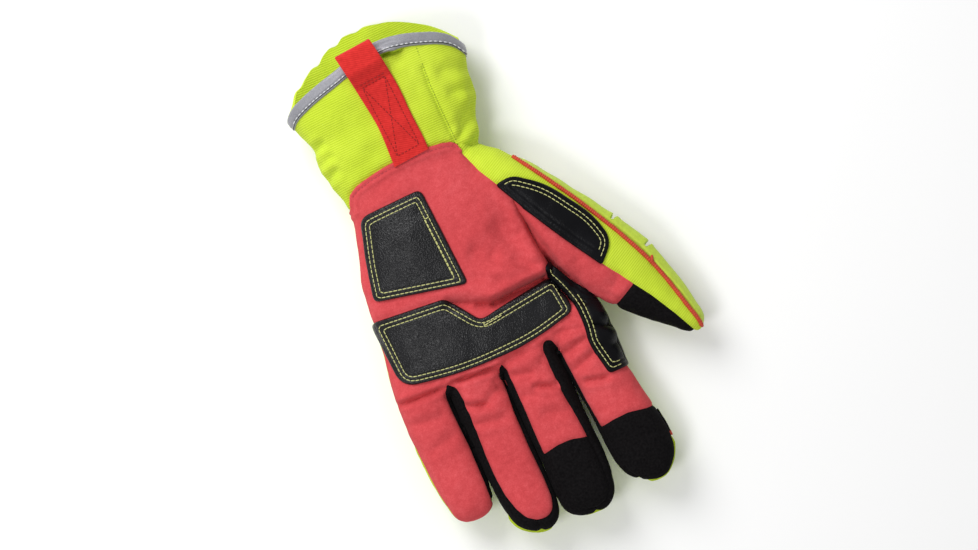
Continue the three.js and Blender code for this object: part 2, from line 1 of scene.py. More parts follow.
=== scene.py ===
# Insulated work glove for the left hand, lying on its back with the palm up.
# Shapes are drawn in millimetres, with +Z out of the palm, -Y along the fingers and +X to the
# thumb's side, and are moved to the frame's origin and metres when a piece is made.
import math

import bpy
import numpy as np
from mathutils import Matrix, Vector, kdtree
from mathutils.bvhtree import BVHTree


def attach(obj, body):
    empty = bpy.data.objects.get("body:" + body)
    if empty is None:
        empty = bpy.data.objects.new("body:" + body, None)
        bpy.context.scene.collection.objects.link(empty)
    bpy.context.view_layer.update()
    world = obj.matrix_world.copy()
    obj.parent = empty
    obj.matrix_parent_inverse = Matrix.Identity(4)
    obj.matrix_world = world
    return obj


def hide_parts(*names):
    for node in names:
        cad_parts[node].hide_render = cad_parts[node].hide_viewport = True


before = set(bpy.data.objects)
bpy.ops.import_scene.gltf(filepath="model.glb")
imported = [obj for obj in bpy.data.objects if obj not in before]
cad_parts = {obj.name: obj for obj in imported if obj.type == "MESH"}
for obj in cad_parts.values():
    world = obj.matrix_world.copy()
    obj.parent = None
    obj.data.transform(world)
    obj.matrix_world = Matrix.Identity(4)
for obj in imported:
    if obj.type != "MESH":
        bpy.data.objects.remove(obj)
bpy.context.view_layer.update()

# Driving sizes, in millimetres and degrees
WALL = 2.4  # cloth and lining as it shows at the rims
LEATHER, LEATHER_RIM = 1.5, 0.15  # thickness, and what is left of it at a patch's edge
SEAM_DIP, SEAM_REACH = 0.9, 1.2
PATCH_DENT = 0.6  # how far a patch's edge sinks the cloth
SUNK = -0.5  # how far patches and the thumb's guard reach into the cloth
THREAD = 0.25
GROW = 1.1  # the tubes are joined this much too thin, so that the gaps between fingers stay open
VOXEL = 0.95
LIME_EDGE = 1.8
HEM, HEM_SEWN = 0.7, 2.2  # the palm's hem: thickness and the stitches' distance from its edge
ORIGIN = (17.7, -48.5)
RIB_PITCH = 1.15
TAB_ANGLE, THUMB_ANGLE = 4.3, 28.2  # how far the pull tab and the thumb turn from the glove's length
PALM_Z = 16  # beside the thumb, what lies higher is on the palm side
RIM_Y = 60  # the cuff's edges beyond this are its rim, not seams
SHARP = 50  # an edge that bends more is shown sharp

# Hand and cuff: y, left and right edge, lowest and highest point
HAND = [
    (106, -53, 41, 3.2, 46), (97, -54, 42, 2.6, 46), (84, -56, 43.5, 1.9, 46),
    (66, -56.3, 44, 1.6, 45.5), (58, -54.5, 43.2, 1.5, 44.6), (50, -51.8, 41, 1.2, 43.2),
    (45, -50.6, 40.6, 0.8, 42.2), (38, -52, 40, -0.4, 41.5), (31, -51.2, 36.5, -1.4, 39.4),
    (26, -49.5, 34.4, -1.5, 38.4), (21, -48.2, 34, -1.5, 37.5), (14, -46.4, 31, -1.5, 36),
    (8, -46, 35, -1.5, 36.6), (-2, -47.6, 38, -1.5, 37), (-15, -52, 41, -1.5, 37.5),
    (-30, -57, 44.5, -1.5, 37), (-45, -59.5, 47, -1.5, 36), (-56, -60.5, 47.5, -1.5, 35),
    (-68, -62.7, 48.5, -1.5, 34), (-80, -65, 50, -1, 33.2), (-92, -66.4, 52.6, 0.5, 31.8),
    (-98, -65.5, 52.2, 4, 29.2), (-101, -62, 50, 8, 25),
]
POWER = 2.5  # how square the sections are: 2 is an ellipse

# Fingers seen from above: y, left and right edge
FINGERS = {
    "pinky": [(-97, -67, -39.3), (-112, -67, -38.6), (-140, -66.6, -38.6), (-152, -65.4, -38.7),
              (-160, -63.6, -39.5), (-165, -61.7, -41.2), (-167.8, -58.5, -44.5), (-168.8, -54, -49)],
    "ring": [(-97, -37.9, -9.6), (-112, -38.6, -8.9), (-150, -38.6, -8.8), (-164, -38, -9.0),
             (-172, -36.9, -9.9), (-178, -35.2, -10.5), (-182, -32.6, -11.5), (-184.9, -28.6, -13.2),
             (-186.6, -23, -15.6), (-187.4, -20, -18)],
    "middle": [(-97, -8.2, 22.2), (-112, -8.9, 22.5), (-150, -8.8, 22.9), (-165, -8.6, 23.1),
               (-172, -8.2, 23), (-179, -8, 22.2), (-183, -7.2, 20.8), (-186.5, -4.6, 18.6),
               (-189, -0.5, 16), (-190.4, 5, 13)],
    "index": [(-97, 23.4, 53.6), (-110, 23.6, 53.8), (-127, 25, 54), (-145, 26.2, 56.4),
              (-155, 26.6, 58.2), (-162, 26.9, 58.9), (-168, 27.2, 58.9), (-174, 28.2, 58.2),
              (-179, 30.2, 56.2), (-182.6, 33.2, 53.6), (-185.4, 38, 51), (-187, 43, 48.5)],
}
TIP_LENGTH = 22
FINGER_ROOT = -76  # where the fingers' tubes start, inside the hand
CURL = [(-76, 5, 30), (-97, 4.4, 30.6), (-113, 4.2, 29.6), (-130, 4.6, 29.4), (-150, 6.4, 30),
        (-170, 9, 30.6), (-193, 12, 31)]

# Thumb, in its own run: s along it, middle and half width across, lowest and highest point
THUMB_RUN = np.array((0.473, -0.881))
THUMB_SIDE = np.array((0.881, 0.473))
THUMB = [
    (2, 22, 8.6, 12, 29), (6, 22, 12.2, 9, 33), (11, 22.2, 14.2, 7.5, 35), (22, 24, 15.2, 6.5, 36),
    (40, 24.5, 16.7, 6, 36), (58, 24.5, 17.9, 6, 36), (78, 24.3, 18.5, 6, 35),
    (98, 24.4, 17.9, 7, 33.5), (113, 25.2, 15.6, 8.5, 32), (130, 26, 11, 10.5, 30),
    (142, 26.4, 7.7, 12.5, 28), (152, 26.9, 4.8, 15, 25.5), (156.5, 27, 2, 17.5, 22.5),
]
THUMB_END = 155.4
THUMB_CAP_S = 112.5

# Height of the seam between the palm side and the back: y, z
SIDE_SEAM = [(110, 21), (14, 17), (-97, 16), (-130, 15.6), (-160, 17.6), (-205, 20)]

# Seams seen from above
PALM_TOP = [(-90, 6), (-46, 8.5), (-45, 12), (-43, 15.8), (-38, 18.4), (-30, 20), (-20, 21.4),
            (-8, 21.9), (4, 21.6), (13, 20.4), (17.6, 19), (19.3, 17.2)]
THUMB_EDGE = [(19.3, 17.2), (21, 10), (24, 0), (30, -11.5), (34, -20.5), (45, -42), (55, -58),
              (63, -71), (74, -88), (80, -97), (88, -112), (93, -123), (98, -136)]
THUMB_CREASE = [(34, -20.5), (35.5, -32), (37, -50), (38.7, -60), (44, -71), (50.5, -82),
                (57, -91), (61.4, -97), (68, -106)]
UNDER_THUMB = [(30, 14), (41, -10), (46, -43), (48, -62), (50.5, -82), (57, -91), (68, -106), (98, -136)]
CUFF_SEAM = [(19.3, 17.2), (18.8, 34), (18.8, 50), (20, 65), (23, 100)]
WRIST_TOP = [(19.3, 17.2), (27, 14), (60, 14)]
WRIST_Y = 14
FAR = 140  # beyond the thumb

# Coral faces of the fingers, with flared roots that round the slots between them
FACES = {
    "pinky": [(-90, -88), (-90, -190), (-46, -190), (-41.4, -167), (-40.3, -150), (-40.1, -130),
              (-40.6, -110), (-40.4, -101), (-39.4, -98), (-37.2, -96.4), (-37.2, -88)],
    "ring": [(-37.2, -88), (-37.2, -96.4), (-34.6, -98), (-33.2, -102), (-32.7, -110), (-33.3, -124),
             (-34.3, -140), (-34.3, -152), (-33.3, -162), (-31, -170.5), (-27.6, -177), (-23, -180.3),
             (-17.5, -181), (-13.4, -178.8), (-11.2, -173), (-10.8, -162), (-11.4, -142), (-10.9, -124),
             (-9.6, -110), (-9.7, -102), (-9.1, -99.2), (-7.7, -97.9), (-7.7, -88)],
    "middle": [(-7.7, -88), (-7.7, -97.9), (-6.2, -99.1), (-5.5, -102), (-5.4, -110), (-5.6, -126),
               (-6, -150.6), (2, -148.9), (10.5, -149), (18.8, -151.2), (18, -140), (16.4, -127),
               (15.8, -110), (16, -101), (17.4, -97.6), (20, -96.2), (20, -88)],
    "index": [(20, -88), (20, -96.2), (22.6, -97.8), (24, -102), (24.6, -112), (25.8, -130),
              (27.4, -150), (35, -148.6), (43.2, -148.3), (55, -150.6), (66, -152), (66, -110),
              (57.5, -96), (54.4, -88)],
}
CAPS = {
    "middle": [(-6, -150.6), (-6.6, -165), (-6, -174), (-3.2, -181.4), (2, -186), (8, -187.6),
               (14, -186), (18, -181), (19.6, -172), (19.6, -160), (18.8, -151.2), (10.5, -149),
               (2, -148.9)],
    "index": [(27.4, -150), (28.4, -166), (31.6, -178), (38, -187), (44, -200), (80, -200),
              (80, -152), (66, -152), (55, -150.6), (43.2, -148.3), (35, -148.6)],
}

# Rims of the cuff: x, the palm side's edge, the tape's upper edge on the back, the flap's edge
RIM = [
    (-60, 60.5, 60.5, 64), (-54, 66.2, 65.5, 71), (-44, 70.4, 70, 81.5), (-34, 73.1, 74, 87),
    (-24, 75.4, 77.5, 92.3), (-12, 78.8, 80.5, 95.8), (2, 80.9, 81, 96), (15, 79.4, 79.5, 93),
    (25, 76.4, 76, 87.6), (34.5, 72.5, 71, 80.5), (39.3, 69.2, 67, 75), (44.2, 62.5, 61.5, 68),
    (50, 54, 54, 58),
]
PALM_RIM, BACK_TAPE, FLAP = 1, 2, 3  # columns of the rim's table
TAPE_WIDTH = 5.9
TAPE_OVER = 1.3  # how far the tape stands over the palm side's edge
TAPE_STITCHES = 1.7  # the stitches' distance from the tape's lower edge

# Patches: corners with the radius that rounds each
PATCHES = {
    "heel_patch": [(-42.6, 2.6, 5), (-7.6, 3.2, 4), (-4.9, -52.2, 3.5), (-54.2, -41, 3.5),
                   (-50.2, -22, 40)],
    "palm_patch": [(-61, -50.2, 4), (-20, -54.2, 3), (-7, -72, 3), (37, -67, 4), (39.4, -88, 4),
                   (14, -93.6, 50), (-24, -94.2, 50), (-59.6, -88, 9)],
    "index_patch": [(35.2, -60.4, 2), (39.2, -58.8, 1.5), (46, -74.6, 4), (67, -96, 3), (67, -127, 2),
                    (43, -125.8, 2.4), (39.5, -107, 6), (41.4, -97, 8), (41.2, -84, 14), (37.4, -72.4, 8),
                    (34.2, -65.4, 3)],
    "thumb_patch": [(28.9, -10.8, 2), (38.6, -9.6, 10), (53, -21, 22), (69, -46, 26), (73, -62, 7),
                    (62.7, -72.2, 2), (44.6, -42.4, 60)],
}

# Edges of a patch that run into a seam and carry no stitches
SEWN_IN = {
    "index_patch": [(35.2, -60.4), (39.2, -58.8), (46, -74.6), (67, -96), (67, -127)],
    "thumb_patch": [(62.7, -72.2), (44.6, -42.4), (28.9, -10.8)],
}

# Guard on the back of the thumb: s, inner edge across, thickness
GUARD = [(21, 38.6, 0.8), (40, 40, 1.3), (58, 41, 2.3), (78, 41.2, 3.3), (98, 40.6, 4.2),
         (113, 39.2, 4.8), (130, 35.8, 4.4), (142, 32.6, 3.4), (152, 30.2, 2.2), (155, 29, 1.4)]
GUARD_NOTCHES = (83, 105.5)
FINGER_GUARD_NOTCHES = (-128, -149)
PAD_START, PAD_HALF = -108, 9.5  # the finger guards' lower end and half width

# Folds of the palm side: from, to, depth, width and how far the lips stand up, before the gain
FOLD_GAIN = 1.45
FOLDS = [
    (-20, -56.4, -6, -63.5, 2.2, 3.4, 0.8), (-6, -64.5, 4, -67.4, 3.2, 2.6, 1.0),
    (4, -67, 36, -65.4, 5.0, 2.2, 1.8), (35, -66, 41.4, -84, 3.2, 1.6, 0.8),
    (35.7, -27.5, 35.2, -39, 1.2, 2.4, 0.5), (35.2, -39, 37.4, -51, 1.8, 2.6, 0.6),
    (37.4, -51, 38.8, -63, 3.0, 2.8, 0.8),
    (3, -37, 15, -45, 1.4, 5.5, 0.3), (20, -30, 29, -52, 1.5, 5, 0.3),
    (12, -44, 30, -60, 1.2, 3.4, 0.5), (22, -50, 35, -61, 1.1, 2.6, 0.6), (-2, -50, 12, -58, 0.9, 3.4, 0.4),
    (-66, -95.5, -40.5, -97.2, 2.6, 1.4, 0.9), (-34, -96.4, -8.7, -98.8, 3.4, 1.3, 0.9),
    (-6, -97.4, 8, -96.8, 1.2, 2.0, 0.5), (25, -95.4, 40, -98, 1.3, 2.0, 0.5),
    (-4, -106, 6, -109, 1.0, 2.0, 0.5), (4, -115.5, 16, -120.4, 2.0, 1.5, 0.9),
    (-4, -118, 4, -120, 0.8, 2.2, 0.4), (2, -131, 16, -135, 0.7, 2.6, 0.4),
    (-33, -110.6, -22, -114.4, 1.8, 1.6, 0.9), (-22, -112, -11, -109, 0.8, 2.2, 0.4),
    (-33, -121.5, -16, -125, 1.0, 2.2, 0.5), (-14, -104, -10, -112, 0.9, 2.2, 0.3),
    (-64, -108, -46, -111, 0.7, 2.6, 0.4), (-60, -125, -44, -122, 0.6, 2.6, 0.3),
    (26, -107, 39, -104, 1.2, 2.0, 0.6), (27, -117, 40, -113, 1.3, 2.0, 0.6),
    (30, -124.4, 42, -127.6, 1.8, 1.6, 0.9), (43, -134, 55, -140, 0.7, 3.0, 0.3),
    (33, -88, 40, -94, 1.0, 2.0, 0.4), (42, -92, 46, -102, 0.5, 2, 0.3),
    (42, -76, 47, -88, 1.3, 2.2, 0.6), (45, -98, 55, -103.5, 1.7, 2.0, 0.8),
    (44, -110, 53, -113, 0.7, 2.4, 0.4),
    (52, -63, 47, -77, 0.8, 2.6, 0.3), (63, -86, 70, -80, 0.6, 3, 0.2),
    (34, 27, 21, 18.6, 1.2, 1.9, 0.7), (38, 34, 24, 24.5, 0.9, 2.4, 0.5), (33, 17, 22, 12, 1.1, 2.0, 0.5),
    (-56, 44.6, -44, 46, 1.2, 2.0, 0.7), (-54, 27, -43, 30.5, 1.1, 2.2, 0.7),
    (-52, 36, -42, 38, 0.6, 2.0, 0.4),
    (28, 43, 46, 40, 0.9, 2.6, 0.5), (26, 55, 46, 51, 0.7, 3.0, 0.4),
]

# How deep the crease beside the thumb is cut: y, depth
CREASE_DEPTH = [(-20, 0), (-28, 1.8), (-40, 4.0), (-52, 6.0), (-60, 8.5), (-66, 7.5), (-76, 0)]

# Steps of the cloth over a line: from, to, height and reach; the left of the way stands higher
OVERHANGS = [
    (-34, -96.4, -8.7, -98.9, 1.0, 5), (-66, -95.2, -40.5, -97.3, 0.8, 5), (-8, -98, 18, -96.5, 0.4, 4),
    (2, -66.6, 37.5, -65.2, 2.8, 8), (-21, -55.6, 2, -66.6, 1.5, 5),
    (38.8, -63, 37.4, -51, 2.0, 6), (37.4, -51, 35.2, -39, 1.5, 6), (35.2, -39, 35.7, -27.5, 0.9, 5),
    (4, -115.4, 16.4, -120.6, 0.6, 4), (-33, -110.8, -20, -114, 0.6, 4), (30, -124, 42.6, -127.8, 0.6, 4),
]

# Broad swellings and hollows of the padding: x, y, reach across and along, height
SWELLS = [
    (17, -54.5, 19, 7.5, 3.0), (8, -14, 15, 20, 1.3), (-20, -60, 16, 5, -0.6), (24, -38, 7, 12, -1.2),
    (-26, -104, 8, 5, 0.8), (-53, -104, 9, 6, 0.8), (8, -102, 8, 4, 0.7), (13, -105.6, 2.6, 3.4, -1.2),
    (38, -121, 10, 5, 0.6), (30, -100, 6, 4, 0.8), (-24, -118, 9, 3, 0.6), (6, -126, 9, 4, 0.6),
    (50, -40, 9, 13, 0.8), (58, -64, 8, 10, 0.6), (-54, -20, 5, 20, 0.7), (-10, 12, 26, 6, 0.5),
    (49, -92, 6, 5, 1.0), (50, -107.5, 5, 4, 1.2), (9, 69.5, 4.5, 3.5, -1.6), (-44, 55, 8, 8, 0.8),
    (34, 46, 7, 8, 0.9),
]

# Unevenness of the cloth: height, how fine it is and the seed
UNEVEN = [(1.0, 0.045, 1), (0.42, 0.13, 2), (0.12, 0.33, 3)]


def power(value, exponent):
    return np.sign(value) * np.abs(value) ** exponent


def smoothstep(low, high, value):
    share = np.clip((value - low) / (high - low), 0, 1)
    return share * share * (3 - 2 * share)


def bell(value, width):
    return np.exp(-(value / width) ** 2)


def smooth_rows(rows, step):
    """Rows of a table at even steps of its first column, on a smooth curve through it."""
    table = np.array(rows, float)
    if table[-1, 0] < table[0, 0]:
        return smooth_rows(table[::-1], step)[::-1]
    keys = table[:, 0]
    slopes = np.gradient(table, keys, axis=0)
    samples = np.linspace(keys[0], keys[-1], max(2, int((keys[-1] - keys[0]) / step) + 1))
    row = np.clip(np.searchsorted(keys, samples, side="right") - 1, 0, len(keys) - 2)
    gap = (keys[row + 1] - keys[row])[:, None]
    share = ((samples - keys[row]) / gap[:, 0])[:, None]
    start = (1 + 2 * share) * (1 - share) ** 2
    end = share ** 2 * (3 - 2 * share)
    rise = share * (1 - share) ** 2 * gap
    fall = share ** 2 * (share - 1) * gap
    return start * table[row] + end * table[row + 1] + rise * slopes[row] + fall * slopes[row + 1]


def column(rows, key, index=1):
    """One column of a table at a key, straight between its rows."""
    table = np.array(sorted(rows), float)
    return np.interp(key, table[:, 0], table[:, index])


def superellipse(middle, half, low, high, sides):
    angle = 2 * math.pi * (np.arange(sides) + 0.5) / sides
    across = middle + half * power(np.cos(angle), 2 / POWER)
    height = (low + high) / 2 + (high - low) / 2 * power(np.sin(angle), 2 / POWER)
    return across, height


def unit(vectors):
    return vectors / np.maximum(np.linalg.norm(vectors, axis=-1, keepdims=True), 1e-12)


def loft(rings):
    """A closed tube through rings of equal length: vertices and faces."""
    rings = np.asarray(rings, float)
    count, sides = rings.shape[:2]
    ids = np.arange(count * sides).reshape(count, sides)
    onward = np.roll(ids, -1, 1)
    faces = np.stack([ids[:-1], onward[:-1], onward[1:], ids[1:]], -1).reshape(-1, 4).tolist()
    return rings.reshape(-1, 3).tolist(), faces + [ids[0, ::-1].tolist(), ids[-1].tolist()]


def between(first, second):
    """Quads between neighbouring lines of vertex numbers."""
    return np.stack([first[..., :-1], first[..., 1:], second[..., 1:], second[..., :-1]], -1).reshape(-1, 4)


def eased(rows, rounds, both_ways=False):
    """Rows, and columns where asked, drawn towards the middle of their neighbours."""
    for _ in range(rounds):
        rows[1:-1] = (rows[:-2] + 2 * rows[1:-1] + rows[2:]) / 4
        if both_ways:
            rows[:, 1:-1] = (rows[:, :-2] + 2 * rows[:, 1:-1] + rows[:, 2:]) / 4
    return rows


def thumb_xy(s, t):
    return np.multiply.outer(s, THUMB_RUN) + np.multiply.outer(t, THUMB_SIDE)


def hand_tube(sides=96):
    rings = []
    for y, left, right, low, high in smooth_rows(HAND, 2.5):
        half = (right - left) / 2 - GROW
        x, z = superellipse((left + right) / 2, half, low + GROW, high - GROW, sides)
        rings.append(np.stack([x, np.full(sides, y), z], 1))
    return loft(rings)


def finger_tube(name, sides=40):
    rows = np.array(FINGERS[name][::-1], float)
    tip = rows[0, 0]
    shares = 1 - np.sin(np.linspace(0, 1, 20) * math.pi / 2)[1:]
    stations = np.concatenate([np.linspace(FINGER_ROOT, tip + TIP_LENGTH, 30), tip + TIP_LENGTH * shares])
    rings = []
    for y in stations:
        left, right = (np.interp(y, rows[:, 0], rows[:, side]) for side in (1, 2))
        into = np.clip((tip + TIP_LENGTH - y) / TIP_LENGTH, 0, 0.995)
        size = 0.7 + 0.3 * np.clip((FINGER_ROOT - y) / 21, 0, 1)
        low, high = column(CURL, y, 1), column(CURL, y, 2)
        middle = (low + high) / 2
        rise = ((high - low) / 2 - GROW) * size * (1 - into ** 2.4) ** (1 / 2.4)
        half = max(0.8, ((right - left) / 2 - GROW) * size)
        x, z = superellipse((left + right) / 2, half, middle - rise, middle + rise, sides)
        rings.append(np.stack([x, np.full(sides, y + GROW * into ** 2), z], 1))
    return loft(rings)


def finger_middle(name, y):
    rows = np.array(FINGERS[name][::-1], float)
    return np.interp(y, rows[:, 0], rows[:, 1:].mean(1))


def thumb_tube(sides=40):
    rings = []
    for s, middle, half, low, high in smooth_rows(THUMB, 3):
        inset = min(GROW, 0.6 * half)
        t, z = superellipse(middle, half - inset, low + inset, high - inset, sides)
        rings.append(np.column_stack([thumb_xy(np.full(sides, min(s, THUMB_END)), t), z]))
    return loft(rings)


# Surfaces as arrays


def add_object(name, data):
    thing = bpy.data.objects.new(name, data)
    bpy.context.scene.collection.objects.link(thing)
    return thing


def object_of(name, verts, faces):
    mesh = bpy.data.meshes.new(name)
    mesh.from_pydata([tuple(v) for v in verts], [], [tuple(f) for f in faces])
    return add_object(name, mesh)


def arrays_of(thing):
    """Vertices and triangles of a thing's evaluated mesh; the thing itself is removed."""
    mesh = thing.evaluated_get(bpy.context.evaluated_depsgraph_get()).to_mesh()
    mesh.calc_loop_triangles()
    verts = np.array([v.co for v in mesh.vertices], float)
    triangles = np.array([t.vertices for t in mesh.loop_triangles])
    bpy.data.meshes.remove(thing.data)
    return verts, triangles


def sides_of(triangles):
    """The three edges of each triangle, in its direction."""
    return np.concatenate([triangles[:, [0, 1]], triangles[:, [1, 2]], triangles[:, [2, 0]]])


def edges_of(triangles):
    return np.unique(np.sort(sides_of(triangles), 1), axis=0)


def summed(keys, rows, size):
    """The sum of the rows with each key."""
    return np.stack([np.bincount(keys, rows[:, axis], size) for axis in range(3)], 1)


def smoothed(verts, triangles, rounds, strength=0.5, hold=None):
    """Laplacian smoothing; where hold is 1 a vertex stays."""
    edges = edges_of(triangles)
    ends, others = edges.ravel(), edges[:, ::-1].ravel()
    count = np.maximum(np.bincount(ends, minlength=len(verts)), 1)[:, None]
    free = strength if hold is None else strength * (1 - hold)[:, None]
    verts = verts.copy()
    for _ in range(rounds):
        verts += free * (summed(ends, verts[others], len(verts)) / count - verts)
    return verts


def normals_of(verts, triangles):
    a, b, c = (verts[triangles[:, i]] for i in range(3))
    return unit(summed(triangles.ravel(), np.repeat(np.cross(b - a, c - a), 3, 0), len(verts)))


def walled(outside, inside, triangles, rim):
    """A closed wall between two places of a surface's vertices."""
    count = len(outside)
    walls = np.concatenate([np.stack([rim[:, 1], rim[:, 0], rim[:, 0] + count], 1),
                            np.stack([rim[:, 1], rim[:, 0] + count, rim[:, 1] + count], 1)])
    return (np.concatenate([outside, inside]),
            np.concatenate([triangles, triangles[:, ::-1] + count, walls]))


class Surface:
    """A triangle mesh with a normal at each vertex."""

    def __init__(self, verts, triangles, normals=None):
        self.verts, self.triangles = verts, triangles
        self.normals = normals_of(verts, triangles) if normals is None else normals

    def of(self, triangles):
        """The surface of some of the triangles, without the vertices that they leave."""
        used, back = np.unique(triangles, return_inverse=True)
        return Surface(self.verts[used], back.reshape(-1, 3), self.normals[used])

    def with_between(self, pairs, share):
        """The surface with a vertex more for each pair, at a share of the way along it."""
        low, high = pairs.T
        verts = self.verts[low] + share * (self.verts[high] - self.verts[low])
        normals = self.normals[low] + share * (self.normals[high] - self.normals[low])
        return Surface(np.concatenate([self.verts, verts]), self.triangles,
                       unit(np.concatenate([self.normals, normals])))

    def clipped(self, field):
        """The part where field, one number for each vertex, is above zero."""
        field = np.where(np.abs(field) < 1e-6, 1e-6, field)
        count = (field[self.triangles] > 0).sum(1)
        crossed = (count == 1) | (count == 2)
        cut, lone = self.triangles[crossed], count[crossed] == 1
        if not len(cut):
            return self.of(self.triangles[count == 3])
        odd = np.where(lone[:, None], field[cut] > 0, field[cut] <= 0).argmax(1)
        cut = np.take_along_axis(cut, (odd[:, None] + np.arange(3)) % 3, 1)
        pairs, where = np.unique(np.sort(np.concatenate([cut[:, [0, 1]], cut[:, [0, 2]]]), 1),
                                 axis=0, return_inverse=True)
        first, second = where.reshape(2, -1) + len(self.verts)
        share = field[pairs[:, 0]] / (field[pairs[:, 0]] - field[pairs[:, 1]])
        two = ~lone
        return self.with_between(pairs, share[:, None]).of(np.concatenate([
            self.triangles[count == 3],
            np.stack([cut[lone, 0], first[lone], second[lone]], 1),
            np.stack([first[two], cut[two, 1], cut[two, 2]], 1),
            np.stack([first[two], cut[two, 2], second[two]], 1)]))

    def refined(self, rounds=0):
        """Each triangle in four, then smoothed."""
        pairs, where = np.unique(np.sort(sides_of(self.triangles), 1), axis=0, return_inverse=True)
        finer = self.with_between(pairs, 0.5)
        middle = where.reshape(3, -1) + len(self.verts)
        a, b, c = self.triangles.T
        triangles = np.concatenate([np.stack(corners, 1) for corners in (
            (a, middle[0], middle[2]), (b, middle[1], middle[0]), (c, middle[2], middle[1]),
            (middle[0], middle[1], middle[2]))])
        return Surface(smoothed(finer.verts, triangles, rounds), triangles, finer.normals)

    def border(self):
        """Edges with one triangle, in that triangle's direction."""
        edges = sides_of(self.triangles)
        keys = np.sort(edges, 1) @ np.array([len(self.verts), 1])
        _, first, count = np.unique(keys, return_index=True, return_counts=True)
        return edges[first[count == 1]]

    def even(self, rounds=4):
        """The border's vertices drawn to the middle of their neighbours along it."""
        rim = self.border()
        before = np.full(len(self.verts), -1)
        after = before.copy()
        before[rim[:, 1]] = rim[:, 0]
        after[rim[:, 0]] = rim[:, 1]
        on = np.flatnonzero((before >= 0) & (after >= 0))
        verts = self.verts.copy()
        for _ in range(rounds):
            verts[on] = (verts[before[on]] + 2 * verts[on] + verts[after[on]]) / 4
        return Surface(verts, self.triangles, self.normals)

    def without_crumbs(self, fewest=60):
        """Only the connected parts with more triangles than the fewest."""
        edges = edges_of(self.triangles)
        label = np.arange(len(self.verts))
        while True:
            low = np.minimum(label[edges[:, 0]], label[edges[:, 1]])
            fresh = label.copy()
            np.minimum.at(fresh, edges[:, 0], low)
            np.minimum.at(fresh, edges[:, 1], low)
            fresh = fresh[fresh]
            if np.array_equal(fresh, label):
                break
            label = fresh
        count = np.bincount(label[self.triangles[:, 0]], minlength=len(label))
        return self.of(self.triangles[count[label[self.triangles[:, 0]]] > fewest])

    def border_distance(self, near=None):
        """Distance of each vertex to the border, or to the part of it where near is true."""
        rim = np.unique(self.border())
        if near is not None:
            rim = rim[near(self.verts[rim])]
        tree = kdtree.KDTree(len(rim))
        for i, v in enumerate(self.verts[rim]):
            tree.insert(v, i)
        tree.balance()
        return np.array([tree.find(v)[2] if len(rim) else 99.0 for v in self.verts])

    def moved(self, offset):
        return Surface(self.verts + self.normals * offset[:, None], self.triangles, self.normals)

    def thick(self, inner, outer=0.0):
        """A closed wall between two distances along the normals."""
        outside, inside = (self.verts + self.normals * np.broadcast_to(far, len(self.verts))[:, None]
                           for far in (outer, inner))
        return walled(outside, inside, self.triangles, self.border())

    def inside(self, outline):
        """How far inside an outline seen from above each vertex is."""
        return signed_distance(self.verts[:, :2], outline)

    def off(self, line):
        """How far from a line seen from above each vertex is."""
        return line_distance(self.verts[:, :2], line)

    def cut_finely(self, field, margin, rounds, near=np.inf):
        """The part where field(surface) is above zero, cut out of triangles of a quarter the size."""
        part = self.clipped(np.minimum(field(self) + margin, near)).refined(rounds)
        return part.clipped(field(part))

    def tree(self):
        return BVHTree.FromPolygons([tuple(v) for v in self.verts], self.triangles.tolist())


def join(*parts):
    """Several (vertices, faces) as one; faces may have any number of corners."""
    verts, faces, start = [], [], 0
    for part_verts, part_faces in parts:
        verts.extend(tuple(v) for v in part_verts)
        faces.extend(tuple(int(i) + start for i in face) for face in part_faces)
        start += len(part_verts)
    return verts, faces


# Outlines seen from above


def rounded(corners, inset=0.0, steps=8):
    """Corners (x, y, radius) drawn in by inset and rounded, as points of a closed outline."""
    points = np.array([c[:2] for c in corners], float)
    radii = [c[2] for c in corners]
    area = np.sum(points[:, 0] * np.roll(points[:, 1], -1) - np.roll(points[:, 0], -1) * points[:, 1])
    turn = 1 if area > 0 else -1
    ahead = unit(np.roll(points, -1, 0) - points)
    inward = np.stack([-ahead[:, 1], ahead[:, 0]], 1) * turn
    shifted = []
    for i in range(len(points)):
        both = inward[i - 1] + inward[i]
        shifted.append(points[i] + both * inset / max(0.2, 1 + inward[i - 1] @ inward[i]))
    outline = []
    for i, corner in enumerate(shifted):
        back, onward = shifted[i - 1] - corner, shifted[(i + 1) % len(shifted)] - corner
        convex = (ahead[i - 1][0] * ahead[i][1] - ahead[i - 1][1] * ahead[i][0]) * turn > 0
        radius = max(0.6, radii[i] - inset if convex else radii[i] + inset)
        reach = min(radius, 0.48 * np.linalg.norm(back), 0.48 * np.linalg.norm(onward))
        start, end = corner + unit(back) * reach, corner + unit(onward) * reach
        for share in np.linspace(0, 1, steps):
            outline.append((1 - share) ** 2 * start + 2 * share * (1 - share) * corner + share ** 2 * end)
    return np.array(outline)


def edged(away, round_over):
    """Height, from 0 to 1, of a sheet's rounded edge at a distance from the edge."""
    return np.sqrt(1 - (1 - np.clip(away / round_over, 0, 1)) ** 2)


def closed(outline):
    return np.concatenate([outline, outline[:1]])


def line_distance(points, line):
    x, y = points.T
    nearest = np.full(len(points), 1e18)
    for (ax, ay), (bx, by) in zip(line[:-1], line[1:]):
        dx, dy = bx - ax, by - ay
        share = np.clip(((x - ax) * dx + (y - ay) * dy) / max(dx * dx + dy * dy, 1e-12), 0, 1)
        nearest = np.minimum(nearest, (x - ax - share * dx) ** 2 + (y - ay - share * dy) ** 2)
    return np.sqrt(nearest)


def signed_distance(points, polygon):
    """Distance to a closed polygon's edge, above zero inside."""
    ring = closed(np.asarray(polygon, float))
    x, y = points.T
    inside = np.zeros(len(points), bool)
    for (ax, ay), (bx, by) in zip(ring[:-1], ring[1:]):
        if by != ay:
            inside ^= ((ay > y) != (by > y)) & (x < ax + (y - ay) * (bx - ax) / (by - ay))
    return np.where(inside, 1, -1) * line_distance(points, ring)


